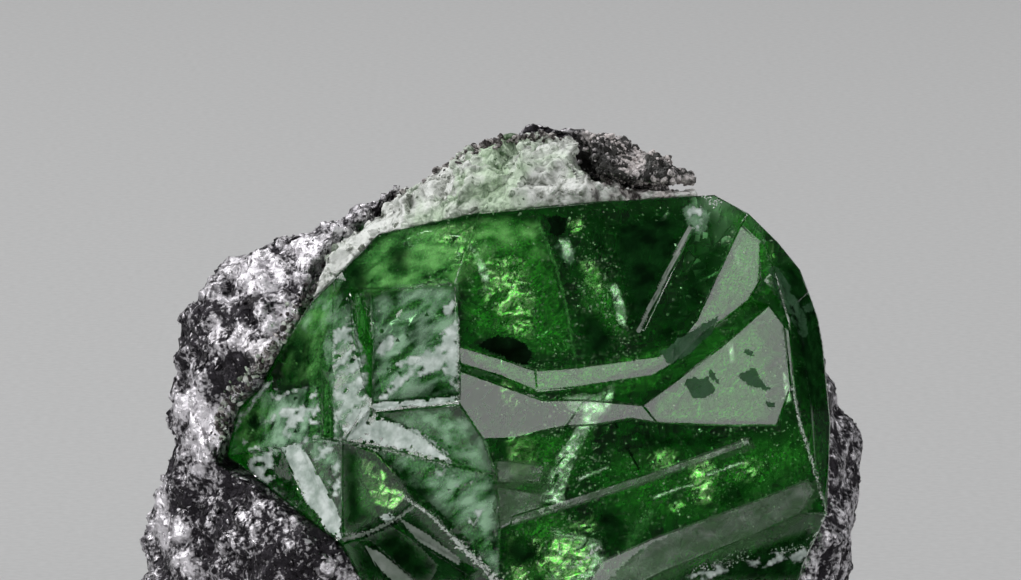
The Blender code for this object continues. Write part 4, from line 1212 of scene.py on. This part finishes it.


# Painted highlights and painted shade on the rock: place on the view, half width and half height, amount
LIGHT_AND_SHADE_PATCHES = [
    (261, 274, 1.0, 0.9, 1.4), (285, 322, 1.2, 0.7, 0.8), (310, 265, 0.7, 1.2, 0.5),
    (243, 334, 0.5, 0.6, 1.1), (263, 350, 0.45, 0.4, 1.3), (216, 321, 0.3, 0.45, 1.2),
    (228, 302, 0.5, 0.3, 0.8), (190, 405, 0.8, 0.7, 1.2), (205, 432, 0.65, 1.1, 1.2),
    (172, 530, 1.1, 0.8, 1.1), (200, 470, 0.4, 0.3, 1.0), (186, 560, 0.6, 0.6, 1.0),
    (160, 508, 0.4, 0.6, 0.9), (304, 246, 0.6, 0.4, 0.8), (345, 228, 0.5, 0.3, 0.7),
    (195, 380, 0.35, 0.3, 0.8), (163, 488, 0.5, 0.5, 0.6), (225, 548, 0.3, 0.4, 0.8),
    (228, 316, 1.5, 0.5, -0.6), (258, 372, 2.4, 0.9, -0.7), (190, 350, 0.8, 2.0, -0.3),
    (285, 515, 3.2, 2.8, -0.55), (250, 470, 1.5, 1.0, -0.4), (188, 512, 1.2, 0.5, -0.6),
    (230, 380, 1.2, 0.6, -0.5), (240, 300, 1.8, 0.4, -0.4), (205, 555, 0.8, 0.5, -0.6),
    (632, 163, 0.9, 0.6, 1.3), (612, 148, 0.6, 0.4, 0.9), (655, 152, 0.4, 0.3, 0.8),
    (690, 183, 0.9, 0.5, 1.3), (655, 184, 0.9, 0.3, 1.0), (590, 136, 0.5, 0.3, 0.9),
    (604, 160, 1.0, 0.8, -1.3), (655, 170, 0.7, 0.4, -0.6), (680, 168, 0.9, 0.3, -0.5),
]
# How strong the painted highlights and shade are, and how far back they go
LIGHT_AND_SHADE_STRENGTH = 0.85
LIGHT_AND_SHADE_DEPTH = 7.0

# Where the rock's edge stands out more or less: place on the view, half width and height, how far
SWELLS = [
    (240, 252, 1.8, 1.3, 0.62), (163, 442, 1.0, 0.9, -0.7), (170, 378, 0.9, 0.9, -0.5),
    (138, 530, 1.3, 2.2, -0.6), (700, 186, 0.6, 0.5, 0.35),
]


def swell(u, v):
    """Return how far the rock's edge stands out at a place on the map."""
    total = 0.0
    for x, y, half_width, half_height, amount in SWELLS:
        (centre_u, centre_v), = mapped((x, y))
        total += amount * math.exp(-((u - centre_u) / half_width) ** 2
                                   - ((v - centre_v) / half_height) ** 2)
    return total


def top_share(u, v, depth):
    """Return how much places belong to the brown top of the rock."""
    return ramp(u, 3.0, 4.5) * ramp(v, 4.0, 5.2) * ramp(-depth, -8.0, -4.0)


def rock_relief(point):
    """Return the relief of the graphite's surface at a point, and its tone, which holds painted shade in
    creases and grooves.
    """
    u, v, depth = map_place(point)
    bent = point + 0.5 * noise.noise_vector(point / 1.1)
    broad = abs(noise.noise(bent / 1.7))
    middle = abs(noise.noise(bent / 0.75))
    small = abs(noise.noise(bent / 0.4))
    facet, groove = lump(bent, 0.9, 0.3, 0.05)
    # Painted shade: the tone is darker in the creases and grooves, and varies at random besides
    tone = -0.4 + 1.2 * min(broad, 0.4) + 0.9 * min(middle, 0.4) + 0.25 * groove
    tone += (0.6 * (cell(bent / 0.8) - 0.35) + 0.6 * noise.noise(point / 3.5)
             + 0.3 * noise.noise(point / 1.6))
    rise = 0.7 * min(broad, 0.45) + 0.32 * middle + 0.2 * small + facet - 0.34 + swell(u, v)
    slab = float(ramp(u, 14.5, 15.6) * ramp(-depth, -6.0, -3.0))
    if slab > 0.0:
        leaf = Vector((point.x / 0.22, point.y / 0.5, point.z / 2.4))
        leaf += 0.6 * noise.noise_vector(point / 1.4)
        ridge = 1.0 - 2.0 * abs(noise.noise(leaf))
        bead = 0.07 * noise.noise(point / 0.25)
        rise = rise * (1 - slab) + slab * (0.2 * ridge - 0.3 + bead)
        # Painted highlight: the slab's tone is lighter along its ridges
        tone = tone * (1 - slab) + slab * (-0.25 + 1.1 * ramp(ridge + 2 * bead, 0.3, 1.0))
    top = float(top_share(u, v, depth))
    if top > 0.0:
        grain, grain_groove = lump(bent, 0.8, 0.4, 0.1)
        filled = 0.5 * math.exp(-((u - 7.2) / 1.0) ** 2 - ((v - 6.4) / 1.2) ** 2)
        trimmed = 0.3 * float(ramp(-u, -5.6, -4.6))
        rise = rise * (1 - top) + top * (grain + 0.25 * noise.noise(point / 0.9) + filled - trimmed)
        # Painted shade: the top's grey is darker in its grooves
        grey = -1.05 + 0.4 * grain_groove + 1.1 * cell(bent / 0.5) ** 2
        tone = tone * (1 - top) + top * grey
    return rise, float(tone)


def painted_light_at(verts):
    """Return how much brighter or darker the rock is at points for its painted highlights and shade."""
    u, v, depth = map_places(verts)
    wave = waves(verts, 0.5)
    total = np.zeros(len(verts))
    for x, y, half_width, half_height, amount in LIGHT_AND_SHADE_PATCHES:
        (centre_u, centre_v), = mapped((x, y))
        reach = np.hypot((u - centre_u) / half_width, (v - centre_v) / half_height) + 0.5 * wave
        total += LIGHT_AND_SHADE_STRENGTH * amount * ramp(-reach, -1.3, -0.8) * (depth < LIGHT_AND_SHADE_DEPTH)
    return total


def relieved(verts, normals, relief, flat_base):
    """Return vertices moved along their normals by a relief, less near the garnet and base."""
    distance, toward = to_garnet(verts)
    found = np.array([relief(Vector(place)) for place in verts])
    amounts = found[:, 0] * ramp(distance, *RELIEF_SPAN)
    amounts = np.maximum(amounts, -CUT_SHARE * np.clip(distance - CUT_START, 0.0, FAR))
    if flat_base:
        amounts *= ramp(verts[:, 2], *BASE_SPAN)
    moved = verts + normals * amounts[:, None]
    closing = np.clip(distance - GAP_LEFT, 0.0, CLOSE_MOST) * ramp(-distance, *CLOSE_SPAN)
    return moved + toward * closing[:, None], found[:, 1]


def stain_at(verts):
    """Return how brown the rock is at points: strongest at the top right."""
    u, v, depth = map_places(verts)
    blotch = waves(verts, 1.7)
    top = top_share(u, v, depth)
    left = bell(u, v, -12.5, -4.3, 2.2, 1.2)
    return np.clip(top * (0.85 + 0.4 * blotch) + 0.5 * left * ramp(blotch, -0.1, 0.3), 0, 1)


def spots_on(verts, normals, faces, count, weight):
    """Return random places on a surface and its normals there, thicker where weight is more."""
    corners = verts[faces]
    area = np.linalg.norm(np.cross(corners[:, 1] - corners[:, 0], corners[:, 2] - corners[:, 0]),
                          axis=1)
    chance = area * weight
    picked = RNG.choice(len(faces), count, p=chance / chance.sum())
    mix = RNG.dirichlet((1.0, 1.0, 1.0), count)
    places = (corners[picked] * mix[:, :, None]).sum(axis=1)
    leaning = (normals[faces[picked]] * mix[:, :, None]).sum(axis=1)
    return places, leaning / np.linalg.norm(leaning, axis=1)[:, None]


def graphite_body():
    """Build the graphite's body."""
    verts, normals, faces = even_arrays("graphite_matrix", STONE_STEP)
    moved, tone = relieved(verts, normals, rock_relief, True)
    mesh = mesh_from_arrays("graphite", moved, faces)
    # The painted highlights and shade go into the tone, and the grain is calmer under the highlights
    patches = painted_light_at(moved)
    set_values(mesh, stain=stain_at(moved), tone=tone + patches, calm=np.clip(patches, 0, 1))
    return mesh, moved, normals, faces


def graphite_flakes(name, count, radii, spread, kinds, weight):
    """Scatter flakes of graphite over the rock."""
    places, leaning = spots_on(*stone_surface, count, weight)
    low, high, power = radii
    radius = low + (high - low) * RNG.random(count) ** power
    mesh, per = scatter(name, kinds, places - leaning * radius[:, None] * 0.12, leaning, spread,
                        radius, ((0.9, 1.5), (0.6, 1.0), (0.7, 1.2)))
    # Each flake's tone is random, plus the painted highlights and shade
    tone = RNG.random(count) ** 1.3 + 0.6 * painted_light_at(places)
    set_values(mesh, per, tone=tone, stain=stain_at(places))
    add_piece(name, mesh, flake_graphite, True)


def rock_flakes():
    """Scatter brown grains at the rock's top, and large and small flakes where it is grey."""
    verts, _, faces = stone_surface
    middles = verts[faces].mean(axis=1)
    u, v, depth = map_places(middles)
    distance, _ = to_garnet(middles)
    above_base = middles[:, 2] > BASE_CLEAR
    open_side = ramp(distance, 0.35, 0.7) * above_base
    near_side = ramp(distance, 0.1, 0.3) * above_base
    lobe = bell(u, v, -12.0, -1.0, 4.5, 6.0) * (depth < 4)
    fine_zone = bell(u, v, -10.0, -13.0, 4.0, 4.5) * (depth < 2)
    brown = stain_at(middles)
    grey = 1 - 0.9 * brown
    slab = ramp(u, 14.2, 15.2) * ramp(-depth, -6.0, -3.0)
    large, small, grain = (flake_shapes(9, PLATE, 12), flake_shapes(5, FLAT, 12),
                           flake_shapes(6, GRAIN, 12))
    graphite_flakes("brown_grains", 1100, (0.08, 0.26, 2.2), 0.9, grain,
                    near_side * (brown > 0.4) * brown)
    graphite_flakes("large_flakes", 900, (0.14, 0.5, 2.2), 0.2, large,
                    open_side * (0.5 + lobe - 0.4 * fine_zone) * grey * (1 - slab))
    graphite_flakes("small_flakes", 17000, (0.05, 0.24, 2.0), 0.4, small,
                    near_side * (0.7 + 1.6 * fine_zone) * grey * (1 - 0.6 * slab))


for kind, (name, *look) in enumerate(VEIL_LOOKS):
    *arrays, covers = veil_arrays(kind, VEIL_SPACINGS[kind])
    veil = mesh_from_arrays(name, *arrays)
    set_values(veil, cover=covers)
    add_piece(name, veil, veil_material(name, *look), True)
add_piece("bright_specks", bright_specks(),
          plain_material("speck", (0.85, 1.0, 0.75), 0.35, 0.4), False)
chip_white = plain_material("white_chip", (0.80, 0.86, 0.80), 0.35, 0.0, 0.85)
add_piece("white_chips", chips(), chip_white, False)

stone_mesh, *stone_surface = graphite_body()
graphite = graphite_material("graphite", (0.030, 0.027, 0.032, 1), (0.86, 0.83, 0.87, 1), 0.36, 2.6)
flake_graphite = graphite_material("graphite_flake", (0.04, 0.037, 0.04, 1),
                                   (0.95, 0.92, 0.96, 1), 0.32, 4.0)
stone = add_piece("graphite_body", stone_mesh, graphite, True)
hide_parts("graphite_matrix")
rock_flakes()


# Quartz crust


def crust_relief(point):
    """Return the relief of the crust's grains at a point, and its tone, which holds painted shade in the
    grain grooves.
    """
    bent = point + 0.5 * noise.noise_vector(point / 1.3)
    large, large_groove = lump(bent, 1.9, 0.32, 0.2)
    small, small_groove = lump(bent + 0.15 * noise.noise_vector(point / 0.3), 0.7, 0.35, 0.05)
    rough = abs(noise.noise(point / 0.5)) + 0.6 * abs(noise.noise(point / 0.22))
    wisp = Vector((point.x - 0.7 * point.z, 2 * point.y, 0.7 * point.x + point.z))
    streak = noise.noise(Vector((wisp.x / 0.3, wisp.y, wisp.z / 1.6)))
    # Painted shade: the tone is darker in the grooves between grains
    tone = 0.82 + 0.15 * small_groove + 0.2 * large_groove + 0.6 * streak - 0.5 * rough
    high = 0.35 * float(ramp(point.x, -2.0, 0.5) * ramp(-point.x, -5.5, -4.0))
    return large + small - 0.07 * rough - 0.26 - high, tone + 0.4 * (cell(bent) - 0.5)


def green_at(verts):
    """Return how green the crust is at points: most in a band above the garnet's middle."""
    u, v, _ = map_places(verts)
    blotch = waves(verts, 1.9)
    band = np.exp(-((u - 0.2 * v + 1.6) / 0.7) ** 2)
    field = blotch + 0.5 * waves(verts, 0.6) + 0.2 * (u > -4.5) * (u < 3.9) - 0.4 * (u < -5) + 1.2 * band
    return ramp(field, 0.0, 0.8) * (u < 4.2)


def brown_at(verts):
    """Return how brown the crust is at points: strongest at the top right."""
    u, _, _ = map_places(verts)
    return ramp(u, 3.8, 4.6) * ramp(waves(verts, 0.7), -0.3, 0.2)


def quartz_body():
    """Build the quartz crust."""
    verts, normals, faces = even_arrays("quartz_rind", CRUST_STEP)
    moved, tone = relieved(verts, normals, crust_relief, False)
    mesh = mesh_from_arrays("quartz", moved, faces)
    set_values(mesh, tone=tone, stain=green_at(moved), brown=brown_at(moved))
    return mesh, moved, normals, faces


# How long, wide and high a grain is for its radius, and how far grains lean
GRAIN_SPANS = (1.0, (0.6, 1.0), (0.5, 1.1))
GRAIN_SPREAD = 0.8


def quartz_grains():
    """Scatter small angular grains over the crust."""
    count = 900
    places, leaning = spots_on(*crust_surface, count, np.ones(len(crust_surface[2])))
    radius = 0.08 + 0.3 * RNG.random(count) ** 2.5
    mesh, per = scatter("quartz_grains", flake_shapes(6, GRAIN, 10), places, leaning, GRAIN_SPREAD,
                        radius, GRAIN_SPANS)
    set_values(mesh, per, tone=RNG.random(count) ** 0.8, stain=green_at(places),
               brown=brown_at(places))
    add_piece("quartz_grains", mesh, quartz, False)


# Lines on the view along which loose grains lie: beside the garnet, and on the crust's top
RIM = mapped((348, 262), (322, 292), (300, 318), (285, 345), (268, 366), (245, 388), (232, 412),
             (226, 440))
RIDGE = mapped((385, 198), (410, 184), (440, 168), (470, 154), (500, 140), (540, 136), (580, 133))


def grains_along(name, line, count, spread, surface, brown):
    """Scatter loose grains along a line on the view."""
    verts, _, faces = surface
    tree = BVHTree.FromPolygons([Vector(place) for place in verts], faces.tolist())
    points = [Vector(place) for place in line]
    places, facings = [], []
    for _ in range(count):
        piece = RNG.integers(0, len(points) - 1)
        place = points[piece].lerp(points[piece + 1], RNG.random())
        u, v = place.x + RNG.normal(-spread, spread), place.y + RNG.normal(0.6 * spread, spread)
        hit, facing = tree.ray_cast(sight_point(u, v, SIGHT_START), SIGHT)[:2]
        if hit is not None:
            places.append(hit)
            facings.append(facing)
    count = len(places)
    kinds = flake_shapes(6, GRAIN, 10)
    radius = 0.05 + 0.2 * RNG.random(count) ** 2.2
    mesh, per = scatter(name, kinds, np.array(places), np.array(facings), GRAIN_SPREAD, radius,
                        GRAIN_SPANS)
    set_values(mesh, per, tone=RNG.random(count) * 0.9, stain=RNG.random(count) ** 2.0,
               brown=(RNG.random(count) < brown) * 1.0)
    add_piece(name, mesh, quartz, False)


quartz = quartz_material("quartz")
grains_along("rim_grains", RIM, 520, 0.24, stone_surface, 0.6)
crust_mesh, *crust_surface = quartz_body()
crust = add_piece("quartz_crust", crust_mesh, quartz, True)
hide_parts("quartz_rind")
quartz_grains()
grains_along("ridge_grains", RIDGE, 900, 0.16, crust_surface, 0.85)


# Surroundings

# Name, azimuth, elevation, distance, width, height and radiance of each soft light
LIGHTS = [
    ("key", 12, 26, 1.0, 1.15, 0.36, 2.2), ("left", -72, 30, 1.0, 0.5, 0.55, 4.0),
    ("far_left", -112, 46, 1.0, 0.5, 0.5, 4.5), ("back", 170, 62, 0.9, 0.55, 0.5, 3.0),
    ("right_low", 75, 18, 1.0, 0.3, 0.5, 3.6),
]
# What the lights face
LIGHT_AIM = Vector((0, 0, 0.018))


def put_up(name, data, location, toward):
    """Put up a light or camera that looks back from where it stands."""
    obj = bpy.data.objects.new(name, data)
    obj.location = location
    obj.rotation_euler = (-toward).to_track_quat("-Z", "Y").to_euler()
    bpy.context.scene.collection.objects.link(obj)
    return obj


def soft_light(name, azimuth, elevation, distance, width, height, radiance):
    """Add a soft rectangular light that faces the specimen."""
    light = bpy.data.lights.new(name, "AREA")
    light.shape = "RECTANGLE"
    light.size = width
    light.size_y = height
    light.energy = radiance * math.pi * width * height
    toward = direction(azimuth, elevation)
    put_up(name, light, LIGHT_AIM + toward * distance, toward)


def floor():
    """Add a plain pale floor."""
    bpy.ops.mesh.primitive_plane_add(size=8.0, location=(0, 0, 0))
    obj = bpy.context.object
    obj.name = "floor"
    obj.data.materials.append(plain_material("floor", (0.64, 0.64, 0.64), 0.7))


def world(strength):
    """Light the scene a little from all round."""
    made = bpy.data.worlds.new("studio")
    bpy.context.scene.world = made
    made.use_nodes = True
    background = made.node_tree.nodes["Background"]
    background.inputs["Color"].default_value = (0.9, 0.95, 1.0, 1.0)
    background.inputs["Strength"].default_value = strength


def camera():
    """Set the camera at the photograph's viewing angle."""
    data = bpy.data.cameras.new("camera")
    data.sensor_width = CAMERA_SENSOR
    data.lens = CAMERA_SENSOR * CAMERA_DISTANCE / VIEW_WIDTH
    data.clip_start = 0.01
    toward = Vector((0.0, -math.cos(SIGHT_DIP), math.sin(SIGHT_DIP)))
    location = VIEW_MIDDLE + SPECIMEN_SHIFT * MM + toward * CAMERA_DISTANCE
    bpy.context.scene.camera = put_up("camera", data, location, toward)


for light in LIGHTS:
    soft_light(*light)
floor()
world(0.05)
camera()

scene = bpy.context.scene
scene.view_settings.view_transform = "Standard"
scene.cycles.max_bounces = 24
scene.cycles.transmission_bounces = 24
scene.cycles.glossy_bounces = 24
scene.cycles.transparent_max_bounces = 24
scene.cycles.diffuse_bounces = 4
